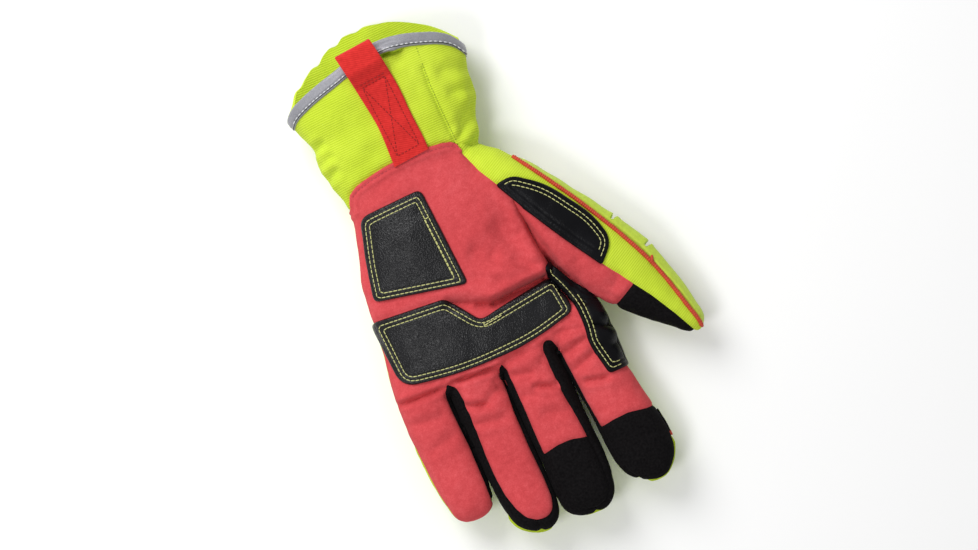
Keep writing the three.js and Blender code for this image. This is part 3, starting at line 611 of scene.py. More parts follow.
RIM_LINE = smooth_rows(RIM, 1.0)


def rim_y(edge, x):
    return np.interp(x, RIM_LINE[:, 0], RIM_LINE[:, edge])


def flap_y(x):
    ripple = 0.8 * np.sin(x * 0.5 + 0.9) + 0.25 * np.sin(x * 0.93 + 2.1)
    return rim_y(FLAP, x) + ripple * smoothstep(12, -16, x)


# The whole skin


def soft_noise(points, scale, seed):
    """Smooth noise from -1 to 1 on a seeded lattice."""
    lattice = np.random.default_rng(seed).uniform(-1, 1, (32, 32, 32))
    place = points * scale
    cell = np.floor(place).astype(int)
    part = place - cell
    part = part * part * (3 - 2 * part)
    total = np.zeros(len(points))
    for corner in range(8):
        step = np.array([(corner >> axis) & 1 for axis in range(3)])
        weight = np.prod(np.where(step, part, 1 - part), axis=1)
        x, y, z = ((cell + step) % 32).T
        total += weight * lattice[x, y, z]
    return total


def sculpt(verts, normals):
    """How far each vertex of the skin moves along its normal: folds, dimples, gathers, puffiness."""
    xy, y = verts[:, :2], verts[:, 1]
    up = smoothstep(-0.05, 0.45, normals[:, 2])
    move = np.zeros(len(verts))
    for x1, y1, x2, y2, depth, width, lips in FOLDS:
        along = np.array((x2 - x1, y2 - y1), float)
        share = ((xy - (x1, y1)) @ along) / (along @ along)
        away = line_distance(xy, [(x1, y1), (x2, y2)])
        fade = smoothstep(-0.25, 0.2, share) * smoothstep(1.25, 0.8, share)
        valley = np.exp(-(away / width) ** 1.6)
        lip = bell(away - 2.1 * width, 1.1 * width)
        move += FOLD_GAIN * up * fade * (lips * 0.6 * lip - depth * valley)
    for x1, y1, x2, y2, height, reach in OVERHANGS:
        dx, dy = x2 - x1, y2 - y1
        length = math.hypot(dx, dy)
        share = ((verts[:, 0] - x1) * dx + (y - y1) * dy) / length ** 2
        side = (dx * (y - y1) - dy * (verts[:, 0] - x1)) / length
        fade = smoothstep(-0.15, 0.15, share) * smoothstep(1.15, 0.85, share)
        fall = np.exp(-np.abs(side) / np.where(side > 0, reach, 0.6 * reach))
        move += up * fade * height * np.tanh(side / 0.8) * fall
    for x0, y0, across, along, height in SWELLS:
        move += up * height * np.exp(-((xy[:, 0] - x0) / across) ** 2 - ((xy[:, 1] - y0) / along) ** 2)
    for corners in PATCHES.values():
        move -= PATCH_DENT * up * bell(signed_distance(xy, rounded(corners)), 1.6)
    move += sum(height * soft_noise(verts, scale, seed) for height, scale, seed in UNEVEN)
    cuff = smoothstep(12, 26, y) * smoothstep(66, 40, y)
    gathers = np.sin(verts[:, 0] * 0.62 + 1.1 * np.sin(y * 0.11))
    side = smoothstep(12, 30, verts[:, 0]) + smoothstep(0.1, -0.5, normals[:, 2])
    move += 0.22 * cuff * gathers * np.clip(side, 0, 1)
    return move


def make_skin():
    tubes = join(hand_tube(), thumb_tube(), *(finger_tube(name) for name in FINGERS))
    blank = object_of("blank", np.array(tubes[0]), tubes[1])
    remesh = blank.modifiers.new("remesh", "REMESH")
    remesh.mode = "VOXEL"
    remesh.voxel_size = VOXEL
    verts, triangles = arrays_of(blank)
    verts = smoothed(verts, triangles, 10)
    verts = verts + normals_of(verts, triangles) * (GROW + 0.25)
    verts = smoothed(verts, triangles, 2)
    normals = normals_of(verts, triangles)
    crease = line_distance(verts[:, :2], THUMB_CREASE[:5])
    crease = np.where(verts[:, 2] > PALM_Z, crease, 99)
    verts = smoothed(verts, triangles, 24, 0.5, 1 - smoothstep(5, 2, crease))
    verts = verts + normals_of(verts, triangles) * sculpt(verts, normals)[:, None]
    verts[:, 2] = np.maximum(verts[:, 2], 0.25 * np.exp(np.minimum(verts[:, 2], 0)))
    return Surface(smoothed(verts, triangles, 1, 0.4), triangles)


skin = make_skin()
skin_tree = skin.tree()


def side_level(x, y):
    """Height of the seam between the palm side and the back, which runs lower between the fingers."""
    tip = np.select([x < -39, x < -9, x < 23], [-169, -187, -190], -187)
    between = smoothstep(-52, -44, x) * smoothstep(40, 32, x) * smoothstep(-99, -106, y)
    return column(SIDE_SEAM, y) - 6.5 * between * smoothstep(tip + 12, tip + 22, y)


def least(*fields):
    return np.minimum.reduce(fields)


def most(*fields):
    return np.maximum.reduce(fields)


def panel_fields(surface):
    """For each panel, a number that is above zero on it and falls to zero at its seams."""
    x, y, z = surface.verts.T
    top = z - side_level(x, y)
    faces = surface.inside(PALM_TOP + THUMB_EDGE[1:5] + THUMB_CREASE[1:-2] + [(61.4, -93), (-90, -93)])
    for face in FACES.values():
        faces = most(faces, surface.inside(face) + 0.5 * smoothstep(-96, -104, y))
    middle_cap, index_cap = (surface.inside(CAPS[name]) + 0.4 for name in ("middle", "index"))
    corner = np.exp(-((x - 34) ** 2 + (y + 20.5) ** 2) / 6)
    thumb_face = surface.inside(THUMB_CREASE + [(98, -136)] + THUMB_EDGE[5:-1][::-1]) + 0.4 * corner
    beyond = surface.verts[:, :2] @ THUMB_RUN - THUMB_CAP_S
    thumb_side = surface.inside(THUMB_EDGE + [(FAR, -136), (FAR, WRIST_Y)] + WRIST_TOP[:0:-1])
    thumb_under = surface.inside(UNDER_THUMB + [(FAR, -136), (FAR, WRIST_Y)])
    before_rim, before_flap = rim_y(PALM_RIM, x) - y, flap_y(x) - y
    cuff_left = surface.inside(PALM_TOP[::-1] + [(-90, 120), (24, 120)] + CUFF_SEAM[:0:-1])
    cuff_right = surface.inside(WRIST_TOP + [(FAR, WRIST_Y), (FAR, 120), (24, 120)] + CUFF_SEAM[:0:-1])
    behind = y - WRIST_Y
    between_fingers = least(-most(faces, middle_cap, index_cap), -95.0 - y, 61 - x, top)
    ring, middle = x + 23.6, x - 7.2
    return {
        "palm_panel": least(top, faces),
        "middle_tip": least(top, middle_cap),
        "index_tip": least(top, index_cap),
        "fourchette_pinky_ring": least(between_fingers, -ring),
        "fourchette_ring_middle": least(between_fingers, ring, -middle),
        "fourchette_middle_index": least(between_fingers, middle),
        "thumb_palm": least(top, thumb_face, -beyond),
        "thumb_tip": least(top, thumb_face, beyond),
        "thumb_back": most(least(thumb_side, thumb_under), least(top, thumb_side), least(-top, thumb_under)),
        "back_panel": least(-top, -behind, -thumb_under),
        "cuff_palm": least(top, cuff_left, before_rim),
        "cuff_back": most(least(top, cuff_right, before_rim), least(-top, behind, before_flap),
                          least(cuff_right, behind, before_rim)),
    }


# Pieces


def finish_piece(name, shape, material, slot, *nodes):
    """A named piece in the frame's own metres, riding on the glove's one body."""
    place = (np.asarray(shape[0], float) - (*ORIGIN, 0)) / 1000
    place[:, 2] = np.maximum(place[:, 2], 0)
    piece = object_of(name, place, shape[1])
    piece.data.materials.append(material)
    piece.data.polygons.foreach_set("use_smooth", [True] * len(piece.data.polygons))
    piece.data.set_sharp_from_angle(angle=math.radians(SHARP))
    piece.data.update()
    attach(piece, "root")
    if nodes:
        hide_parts(*nodes)


# Where the cuff's cloth falls away below the lifted tape, and how far
TAPE_GAP, TAPE_GAP_DEPTH = [(3, 74.6), (12.5, 73.9)], 4.0

# Where the back's edge shows past the fingers from above: from and to x, below which y, how much
LIME_EDGES = [(-72, -60, -116, 0.6), (-44, -17, -168, 1), (-8, 17, -184, 1), (39, 66, -166, 1)]


def lime_edge(x, y):
    share = np.zeros(len(x))
    for left, right, top, size in LIME_EDGES:
        inside = smoothstep(left - 2, left + 2, x) * smoothstep(right + 2, right - 2, x)
        share = np.maximum(share, size * inside * smoothstep(top, top - 8, y))
    return share


def make_panel(name, material, slot):
    creased = name in ("palm_panel", "thumb_palm")
    panel = skin.clipped(fields[name]).without_crumbs().even(14 if creased else 4)
    seams = (lambda points: points[:, 1] < RIM_Y) if name.startswith("cuff") else None
    away = panel.border_distance(seams)
    dip = -SEAM_DIP * bell(away, SEAM_REACH) + 0.25 * bell(away - 4.5, 2.5)
    if name == "back_panel":
        shown = lime_edge(panel.verts[:, 0], panel.verts[:, 1])
        dip = dip * (1 - shown) + LIME_EDGE * shown * bell(away - 1.2, 2.4)
    if name == "palm_panel":
        top = panel.off(PALM_TOP)
        hem = smoothstep(5.6, 4.2, top)
        groove = 0.45 * bell(top - HEM_SEWN, 0.6)
        dip = dip * (1 - hem) + hem * (HEM * edged(top, 1.0) - groove)
    panel = panel.moved(dip)
    if creased:
        crease = panel.off(THUMB_CREASE[:5])
        panel.verts[:, 2] -= column(CREASE_DEPTH, panel.verts[:, 1]) * bell(crease, 1.0)
        held = 1 - smoothstep(6, 3, crease)
        held[np.unique(panel.border())] = 1
        panel.verts = smoothed(panel.verts, panel.triangles, 4, 0.5, held)
    if name == "cuff_palm":
        gap = panel.off(TAPE_GAP)
        panel.verts[:, 2] -= TAPE_GAP_DEPTH * bell(gap, 1.5)
    finish_piece("shell_" + name, panel.thick(-WALL), material, slot, name)


# Materials


class Finish:
    """A material's nodes, with the principled shader at the end."""

    def __init__(self, name, **values):
        self.material = bpy.data.materials.new(name)
        self.material.use_nodes = True
        self.tree = self.material.node_tree
        self.shader = self.tree.nodes["Principled BSDF"]
        for key, value in values.items():
            self.shader.inputs[key.replace("_", " ")].default_value = value
        self.place = self.add("ShaderNodeTexCoord").outputs["Object"]

    def add(self, kind, links=(), **values):
        node = self.tree.nodes.new(kind)
        for key, value in values.items():
            if hasattr(node, key):
                setattr(node, key, value)
            else:
                node.inputs[key.replace("_", " ")].default_value = value
        for key, source in dict(links).items():
            self.tree.links.new(source, node.inputs[key])
        return node

    def noise(self, scale, detail=3.0, roughness=0.55):
        return self.add("ShaderNodeTexNoise", {"Vector": self.place}, Scale=scale, Detail=detail,
                        Roughness=roughness).outputs["Fac"]

    def turned(self, degrees):
        return self.add("ShaderNodeMapping", {"Vector": self.place},
                        Rotation=(0, 0, math.radians(degrees))).outputs["Vector"]

    def waves(self, pitch, axis="Y", distortion=0.0, vector=None):
        """Ridges with a pitch in millimetres."""
        return self.add("ShaderNodeTexWave", {"Vector": vector or self.place}, wave_type="BANDS",
                        bands_direction=axis, wave_profile="SIN", Scale=2 * math.pi / (20 * pitch / 1000),
                        Distortion=distortion, Detail=1.0, Detail_Scale=2.0).outputs["Fac"]

    def cells(self, scale):
        return self.add("ShaderNodeTexVoronoi", {"Vector": self.place}, feature="SMOOTH_F1", Scale=scale,
                        Smoothness=0.5, Randomness=1.0).outputs["Distance"]

    def mix(self, operation, first, second):
        node = self.add("ShaderNodeMath", operation=operation)
        for socket, value in zip(node.inputs, (first, second)):
            if isinstance(value, (int, float)):
                socket.default_value = value
            else:
                self.tree.links.new(value, socket)
        return node.outputs[0]

    def blend(self, *parts):
        """The sum of sources, each times its weight."""
        weighed = [self.mix("MULTIPLY", source, weight) for source, weight in parts]
        total = weighed[0]
        for part in weighed[1:]:
            total = self.mix("ADD", total, part)
        return total

    def colour(self, factor, *stops):
        """The colour, from stops (place, colour) along factor."""
        ramp = self.add("ShaderNodeValToRGB", {"Fac": factor})
        band = ramp.color_ramp
        while len(band.elements) < len(stops):
            band.elements.new(0.5)
        for element, (place, colour) in zip(band.elements, stops):
            element.position = place
            element.color = (*colour, 1)
        self.tree.links.new(ramp.outputs["Color"], self.shader.inputs["Base Color"])

    def rough(self, factor, low, high):
        """The roughness, between low and high."""
        node = self.add("ShaderNodeMapRange", {"Value": factor}, To_Min=low, To_Max=high)
        self.tree.links.new(node.outputs["Result"], self.shader.inputs["Roughness"])

    def bump(self, height, millimetres, strength=1.0):
        """A bump on top of those before it."""
        normal = self.shader.inputs["Normal"]
        node = self.add("ShaderNodeBump", {"Height": height}, Strength=strength,
                        Distance=millimetres / 1000)
        for before in normal.links[:1]:
            self.tree.links.new(before.from_socket, node.inputs["Normal"])
        self.tree.links.new(node.outputs["Normal"], normal)


def coral_knit():
    cloth = Finish("coral_knit", Roughness=0.94, Sheen_Weight=0.05, Sheen_Roughness=0.5,
                   Specular_IOR_Level=0.08)
    mottle = cloth.noise(300, 4, 0.7)
    tone = cloth.blend((cloth.noise(34), 0.24), (mottle, 0.38), (cloth.noise(1500, 3, 0.7), 0.38))
    cloth.colour(tone, (0.33, (0.46, 0.045, 0.051)), (0.5, (0.575, 0.066, 0.074)),
                 (0.67, (0.69, 0.102, 0.113)))
    weave = cloth.mix("MULTIPLY", cloth.waves(0.62, "X", 1.2), cloth.waves(0.62, "Y", 1.2))
    cloth.bump(weave, 0.06, 0.6)
    cloth.bump(mottle, 0.16, 0.7)
    cloth.bump(cloth.noise(110), 0.4, 0.5)
    return cloth.material


def lime_knit(turn=0.0, name="lime_knit"):
    cloth = Finish(name, Roughness=0.88, Sheen_Weight=0.04, Sheen_Roughness=0.5, Specular_IOR_Level=0.1)
    place = cloth.turned(turn)
    ribs = cloth.waves(RIB_PITCH, "Y", 0.4, place)
    tone = cloth.blend((cloth.noise(30), 0.45), (ribs, 0.34), (cloth.noise(900, 3, 0.7), 0.21))
    cloth.colour(tone, (0.3, (0.46, 0.60, 0.025)), (0.5, (0.52, 0.67, 0.035)), (0.72, (0.60, 0.73, 0.060)))
    cloth.bump(ribs, 0.15, 0.8)
    cloth.bump(cloth.waves(0.5, "X", 1.0, place), 0.04, 0.5)
    cloth.bump(cloth.noise(100), 0.15, 0.4)
    return cloth.material


def black_suede():
    cloth = Finish("black_suede", Roughness=0.97, Sheen_Weight=0.015, Sheen_Roughness=0.4,
                   Specular_IOR_Level=0.04)
    nap = cloth.noise(900, 4, 0.7)
    cloth.colour(nap, (0.35, (0.0035, 0.003, 0.0034)), (0.7, (0.010, 0.009, 0.0095)))
    cloth.bump(nap, 0.1, 0.5)
    cloth.bump(cloth.noise(120), 0.3, 0.4)
    return cloth.material


def black_leather(name="black_leather", gloss=1.0):
    hide = Finish(name, Specular_IOR_Level=0.30 * gloss)
    fine = hide.noise(2200, 3, 0.6)
    tone = hide.blend((hide.noise(45), 0.6), (fine, 0.4))
    hide.colour(tone, (0.3, (0.0030, 0.0030, 0.0036)), (0.75, (0.0075, 0.0075, 0.0092)))
    hide.rough(hide.noise(300), 0.25, 0.37)
    hide.bump(hide.cells(1350), 0.25 if gloss == 1 else 0.14, 1.0)
    hide.bump(fine, 0.04, 0.5)
    hide.bump(hide.noise(90, 2), 0.2, 0.5)
    return hide.material


def reflective_tape():
    tape = Finish("reflective_tape", Roughness=0.45, Metallic=0.2, Specular_IOR_Level=0.4)
    grain = tape.noise(1800, 3, 0.7)
    tape.colour(grain, (0.3, (0.22, 0.22, 0.245)), (0.7, (0.33, 0.33, 0.36)))
    tape.bump(tape.mix("MULTIPLY", tape.waves(0.5, "X"), tape.waves(0.5, "Y")), 0.04, 0.6)
    tape.bump(tape.noise(140), 0.3, 0.4)
    return tape.material


def red_webbing():
    strap = Finish("red_webbing", Roughness=0.8, Sheen_Weight=0.08, Specular_IOR_Level=0.2)
    twill = strap.waves(1.0, "Y", 0.5, strap.turned(38 - TAB_ANGLE))
    along = strap.waves(0.6, "X", 0.8, strap.turned(-TAB_ANGLE))
    weave = strap.blend((twill, 0.7), (along, 0.3))
    tone = strap.blend((weave, 0.35), (strap.noise(500), 0.65))
    strap.colour(tone, (0.2, (0.44, 0.010, 0.009)), (0.7, (0.68, 0.028, 0.024)))
    strap.bump(weave, 0.13, 0.7)
    return strap.material


def plain(name, colour, roughness):
    """A moulded or spun material with a little grain and colour variation."""
    stuff = Finish(name, Roughness=roughness)
    speck = stuff.noise(700)
    stuff.colour(speck, (0.3, [0.82 * part for part in colour]), (0.7, colour))
    stuff.bump(speck, 0.06, 0.5)
    return stuff.material


CORAL = coral_knit()
LIME = lime_knit()
LIME_THUMB = lime_knit(-THUMB_ANGLE, "lime_knit_thumb")
SUEDE = black_suede()
HIDE = black_leather()
MATT_HIDE = black_leather("black_leather_matt", 0.25)
TAPE_CLOTH = reflective_tape()
STRAP = red_webbing()
LIME_RUBBER = plain("lime_rubber", (0.52, 0.68, 0.045), 0.55)
RED_RUBBER = plain("red_rubber", (0.56, 0.047, 0.012), 0.6)
CREAM_THREAD = plain("cream_thread", (0.62, 0.62, 0.24), 0.7)
RED_THREAD = plain("red_thread", (0.33, 0.006, 0.006), 0.7)
WHITE_THREAD = plain("white_thread", (0.75, 0.76, 0.78), 0.6)
# Near-black colour of a cord that is painted shadow along the binding's stitches
STITCH_SHADOW_PAINT = plain("painted_stitch_shadow", (0.03, 0.035, 0.03), 0.7)
CORAL_THREAD = plain("coral_thread", (0.42, 0.05, 0.07), 0.8)
LIME_THREAD = plain("lime_thread", (0.25, 0.33, 0.02), 0.8)

# Each panel's material and slot; the others are of suede
LOOKS = {
    "palm_panel": (CORAL, "coral_knit"), "thumb_palm": (CORAL, "coral_knit"),
    "back_panel": (LIME, "lime_knit"), "thumb_back": (LIME_THUMB, "lime_knit"),
    "cuff_palm": (LIME, "lime_knit"), "cuff_back": (LIME, "lime_knit"),
}
fields = panel_fields(skin)
for panel_name in fields:
    make_panel(panel_name, *LOOKS.get(panel_name, (SUEDE, "black_suede")))


# Thread: stitches as small round-ended grains of thread laid along a line on a surface

# The rings of a stitch: share of its length, size and lift, both as shares of the thread's radius
GRAIN = [(0.0, 0.45, -0.25), (0.16, 0.95, 0.35), (0.5, 1.0, 0.6), (0.84, 0.95, 0.35), (1.0, 0.45, -0.25)]


def thread_grain(start, end, normal, radius):
    """One stitch between two points, arched a little off the surface."""
    start, normal = np.array(start), np.array(normal)
    along = np.array(end) - start
    side = unit(np.cross(normal, along))
    rings = []
    for share, size, lift in GRAIN:
        centre = start + along * share + normal * lift * radius
        rings.append([centre + radius * size * (math.cos(a) * side + math.sin(a) * normal)
                      for a in np.arange(6) * math.pi / 3])
    return loft(rings)


def spaced(line, pitch):
    """Points at even steps along a line."""
    line = np.asarray(line, float)
    lengths = np.concatenate([[0], np.cumsum(np.linalg.norm(np.diff(line, axis=0), axis=1))])
    steps = max(1, round(lengths[-1] / pitch))
    at = np.linspace(0, lengths[-1], steps + 1)
    return np.stack([np.interp(at, lengths, line[:, axis]) for axis in range(line.shape[1])], 1)


def drop(tree, x, y, below=False):
    """Where a line straight down, or up from below, meets a surface, and the normal there."""
    start, way = ((x, y, -30), (0, 0, 1)) if below else ((x, y, 90), (0, 0, -1))
    return tree.ray_cast(Vector(start), Vector(way))[:2]


def stitch_row(tree, line, pitch=2.5, share=0.86, radius=THREAD):
    """Stitches along a line seen from above, as (vertices, faces) parts."""
    points = spaced(line, pitch)
    parts = []
    for a, b in zip(points[:-1], points[1:]):
        start, normal = drop(tree, *(a + (b - a) * (1 - share) / 2))
        end, _ = drop(tree, *(b - (b - a) * (1 - share) / 2))
        if start is not None and end is not None and abs(start.z - end.z) < pitch:
            parts.append(thread_grain(start, end, normal, radius))
    return parts


def sew(name, tree, lines, size, material, slot):
    """Rows of stitches as one piece; size is a stitch's pitch, its share of it and its radius."""
    parts = [part for line in lines for part in stitch_row(tree, line, *size)]
    finish_piece(name, join(*parts), material, slot)


# Patches

STITCH_ROWS = (2.4, 4.6)
STITCH_SHIFT = {"heel_patch": (-0.5, -0.6), "palm_patch": (0.2, -0.4)}
HEEL_SEWN = (-12.3, -45)  # from and to y where the heel patch is sewn twice
PALM_NOTCH = (-6, -75)


def stitch_outline(name, row):
    return rounded(PATCHES[name], row, 6) + np.array(STITCH_SHIFT.get(name, (0, 0)))


def patch_surface(outline, on):
    seen = np.minimum(on.verts[:, 2] - column(SIDE_SEAM, on.verts[:, 1]) - 1.5, on.normals[:, 2] + 0.35)
    return on.cut_finely(lambda part: part.inside(outline), 1.2, 3, seen).without_crumbs(1500).even()


def make_patch(name, on):
    outline = rounded(PATCHES[name])
    patch = patch_surface(outline, on)
    away = np.maximum(patch.inside(outline), 0)
    if name == "index_patch":
        away = np.minimum(away, patch.border_distance())
    padding = 1 - np.exp(-np.maximum(away - STITCH_ROWS[1], 0) / 4)
    height = LEATHER_RIM + (LEATHER - LEATHER_RIM) * edged(away, 1.1) + 0.35 * padding
    for row in STITCH_ROWS:
        height -= 0.4 * bell(away - row, 0.55)
    height += 0.25 * soft_noise(patch.verts, 0.16, 11) * smoothstep(1, 6, away)
    hide = MATT_HIDE if name in SEWN_IN else HIDE
    finish_piece(name + "_leather", patch.thick(SUNK, height), hide, "black_leather", name)
    return patch.moved(height).tree()


hand_part = skin.clipped(np.maximum(fields["palm_panel"], fields["back_panel"]) + 0.01)
trees = {name: make_patch(name, skin if name == "thumb_patch" else hand_part) for name in PATCHES}


def stretches(outline, keep, fewest=30):
    """The longer stretches of a closed outline along which keep is true."""
    start = int(np.argmax(keep & ~np.roll(keep, 1)))
    outline, keep = np.roll(outline, -start, 0), np.roll(keep, -start)
    cuts = np.flatnonzero(np.diff(keep.astype(int))) + 1
    parts = zip(np.split(outline, cuts), np.split(keep, cuts))
    return [points for points, kept in parts if kept[0] and len(points) > fewest]


def make_patch_thread():
    parts = []
    for name in PATCHES:
        for row in STITCH_ROWS:
            outline = stitch_outline(name, row)
            if name not in SEWN_IN:
                parts += stitch_row(trees[name], closed(outline))
                continue
            fine = spaced(closed(outline), 0.5)[:-1]
            for stretch in stretches(fine, line_distance(fine, SEWN_IN[name]) > row + 0.5):
                parts += stitch_row(trees[name], stretch)
    # Where the sewing starts and ends it runs twice, a hair beside the first time.
    heel_ends, notches = [], []
    for row in STITCH_ROWS:
        outline = stitch_outline("heel_patch", row)
        x, y = outline[outline[:, 0] > -30].T
        heel_ends.append(np.interp(HEEL_SEWN, (-46, 0), (x[y < -44].max(), x[y > -3].max())))
        outline = stitch_outline("palm_patch", row)
        notches.append(outline[np.argmin(np.hypot(*(outline - PALM_NOTCH).T))])
    (outer, _), (inner, inner_end) = heel_ends
    for name, start, end, pitch in (
            ("heel_patch", (inner - 0.4, HEEL_SEWN[0]), (inner_end - 0.4, HEEL_SEWN[1]), 2.5),
            ("heel_patch", (inner, -12.2), (outer, -12.0), 2.4),
            ("palm_patch", notches[1] + (0.6, 0.45), notches[1] + (11, 1.65), 2.5),
            ("palm_patch", notches[0] + (0.4, 0), notches[1] + (0.4, 0), 2.4)):
        parts += stitch_row(trees[name], [start, end], pitch, 0.9)
    finish_piece("patch_stitching", join(*parts), CREAM_THREAD, "black_leather")


# Guards and the red edging


def on_thumb(s, share):
    """Points of the skin across the thumb's outer side at s, from the guard's edge above to below."""
    middle, half, low, high = (column(THUMB, s, k) for k in (1, 2, 3, 4))
    reach = np.clip((column(GUARD, s, 1) - middle) / half, 0.05, 0.97)
    angle = math.acos(reach ** (POWER / 2)) * (1 - 2 * share)
    out = half * np.cos(angle) ** (2 / POWER)
    up = (high - low) / 2 * power(np.sin(angle), 2 / POWER)
    centre = np.array((*thumb_xy(s, middle), (low + high) / 2))
    points = []
    for way in np.column_stack([np.outer(out, THUMB_SIDE), up]):
        hit, _, _, distance = skin_tree.ray_cast(Vector(centre), Vector(way).normalized())
        points.append(np.array(hit) if hit is not None and distance < 30 else centre + way)
    return points


def make_guard():
    stations = np.arange(GUARD[0][0], GUARD[-1][0] + 0.01, 0.42)
    share = np.linspace(0, 1, 47)
    base = eased(np.array([on_thumb(s, share) for s in stations]), 10, True)
    arc = np.cumsum(np.linalg.norm(np.diff(base, axis=1, prepend=base[:, :1]), axis=2), axis=1)
    inner = np.minimum(arc, arc[:, -1:] - arc)
    ends = np.minimum(stations - stations[0], 1.5 * (stations[-1] - stations))[:, None]
    away = np.minimum(inner, ends)
    full = column(GUARD, stations, 2)[:, None]
    height = 0.3 + (full - 0.3) * (0.45 * edged(away, 0.8) + 0.55 * smoothstep(0, 5, away))
    for notch in GUARD_NOTCHES:
        place = np.abs(stations[:, None] - notch - 0.12 * (inner - 6))
        cut = smoothstep(1.15, 0.55, place) * smoothstep(1.2, 3.2, inner)
        height = height - (height - 0.5) * cut
        height = height + 0.25 * bell(place - 2, 1.2) * smoothstep(1.2, 4, inner)
    shape = grid_surface(base).thick(SUNK, height.ravel())
    finish_piece("guard_of_thumb", shape, LIME_RUBBER, "lime_rubber", "thumb_guard")


def grid_surface(points):
    """A surface over a grid of points on the thumb, facing away from its middle line."""
    ids = np.arange(points[..., 0].size).reshape(points.shape[:2])
    quads = between(ids[:-1], ids[1:])
    triangles = np.concatenate([quads[:, [0, 3, 2]], quads[:, [0, 2, 1]]])
    surface = Surface(points.reshape(-1, 3), triangles)
    outward = np.mean(surface.normals[:, :2] @ THUMB_SIDE)
    return surface if outward > 0 else Surface(surface.verts, triangles[:, ::-1])


def tube(points, radii, sides=10):
    """A round bar through points, closed at both ends."""
    along = unit(np.gradient(points, axis=0))
    side = unit(np.cross(along, (0, 0, 1.0)))
    other = np.cross(side, along)
    angles = 2 * math.pi * np.arange(sides) / sides
    rings = [p + r * (np.cos(angles)[:, None] * a + np.sin(angles)[:, None] * b)
             for p, r, a, b in zip(points, radii, side, other)]
    return loft(rings)


def laid(tree, line, lift, step, below=False):
    """Points of a line laid on a surface, from above or below."""
    hits = [drop(tree, x, y, below) for x, y in spaced(line, step)]
    return eased(np.array([hit + normal * lift for hit, normal in hits if hit is not None]), 4)


CORD_STEP = 0.2


def make_piping():
    line = [thumb_xy(s, t - 1.0) for s, t, _ in smooth_rows(GUARD, 3)]
    for name, below in (("thumb_piping", False), ("thumb_piping_back", True)):
        points = laid(skin_tree, line, 0.55, CORD_STEP, below)
        place = np.arange(len(points)) * CORD_STEP
        ripple = 1.0 + 0.13 * np.sin(place * 2 * math.pi / 1.25) + 0.04 * np.sin(place * 0.9)
        ends = edged(np.minimum(place, place[::-1]) + 0.15, 1.2)
        parts = [tube(points, 1.15 * ripple * np.clip(ends, 0.3, 1))]
        if not below:
            branch = laid(skin_tree, [thumb_xy(112.8, 38.2), thumb_xy(110.2, 41.8)], 0.8, 0.3)
            branch[:, 2] += np.linspace(0, 3.8, len(branch))
            parts.append(tube(branch, np.linspace(1.0, 0.6, len(branch))))
        finish_piece(name + "_cord", join(*parts), RED_RUBBER, "red_rubber", name)


def make_index_edging():
    """The end of the edging on the index finger's far side, black with a red tip."""
    for name, ys, radius, material, slot in (
            ("index_edge_cord", (-154, -167.4), 0.75, SUEDE, "black_suede"),
            ("index_edge_red", (-167.2, -169.6), 0.95, RED_RUBBER, "red_rubber")):
        points = []
        for y in np.linspace(*ys, 14):
            outside = Vector((90, y, column(SIDE_SEAM, y) + 1.6))
            hit, normal, _, _ = skin_tree.ray_cast(outside, Vector((-1, 0, 0)))
            points.append(np.array(hit + normal * 0.35))
        finish_piece(name, tube(points, np.full(len(points), radius)), material, slot)


def make_finger_guards():
    for name, rows in FINGERS.items():
        stop = rows[-1][0] + 10
        root, end = finger_middle(name, PAD_START), finger_middle(name, stop + 8)
        outline = rounded([(root - PAD_HALF, PAD_START, 4), (end - PAD_HALF, stop, 6),
                           (end + PAD_HALF, stop, 6), (root + PAD_HALF, PAD_START, 4)])
        aside = np.abs(skin.verts[:, 0] - finger_middle(name, skin.verts[:, 1]))
        near = np.minimum(-skin.normals[:, 2] - 0.25, 14 - aside)
        pad = skin.cut_finely(lambda part: part.inside(outline), 1.5, 2, near)
        height = 0.2 + 2.7 * smoothstep(0, 2.6, np.maximum(pad.inside(outline), 0))
        for notch in FINGER_GUARD_NOTCHES:
            height -= (height - 1.0) * smoothstep(1.6, 0.8, np.abs(pad.verts[:, 1] - notch))
        shape = pad.thick(-0.4, height)
        finish_piece(name + "_guard_pad", shape, LIME_RUBBER, "lime_rubber", name + "_guard")


# Reflective binding round the rim


def tape_place(surface):
    """Which vertices are on the palm side, and how far each is inside the tape's two edges."""
    x, y, z = surface.verts.T
    top = z - column(SIDE_SEAM, y) > 0
    rim = np.where(top, rim_y(PALM_RIM, x), rim_y(BACK_TAPE, x))
    return top, rim + np.where(top, TAPE_OVER, 0) - y, y - rim + TAPE_WIDTH


def make_binding():
    band = skin.cut_finely(lambda part: np.minimum(*tape_place(part)[1:]), 1.2, 2)
    top, upper, lower = tape_place(band)
    height = 0.1 + 1.25 * edged(np.maximum(np.minimum(upper, lower), 0), 1.5)
    height -= 0.5 * bell(lower - TAPE_STITCHES, 0.6)
    lift = bell(band.verts[:, 0] - 8, 5) * smoothstep(4.6, 0.6, lower) * top
    height += 3.2 * lift
    inner = np.where(top & (upper < TAPE_OVER + 0.05), -WALL - 0.9, 0.05 + 3.1 * lift)
    shape = band.thick(inner, height)
    finish_piece("cuff_binding_tape", shape, TAPE_CLOTH, "reflective_tape", "cuff_binding")
    return band.moved(height).tree()


def make_binding_thread(tree):
    xs = np.linspace(-56.5, 43.5, 90)
    line = np.stack([xs, rim_y(PALM_RIM, xs) - TAPE_WIDTH + TAPE_STITCHES], 1)
    sew("binding_stitching", tree, [line], (2.5, 0.62, 0.3), WHITE_THREAD, "reflective_tape")
    # A dark cord just below the stitch line: painted shadow of the stitches, standing for no thread of the
    # glove
    points = laid(tree, line - (0, 0.55), 0.02, 0.8)
    shape = tube(points, np.full(len(points), 0.26), 6)
    finish_piece("binding_painted_shadow", shape, STITCH_SHADOW_PAINT, "reflective_tape")


# Pull tab

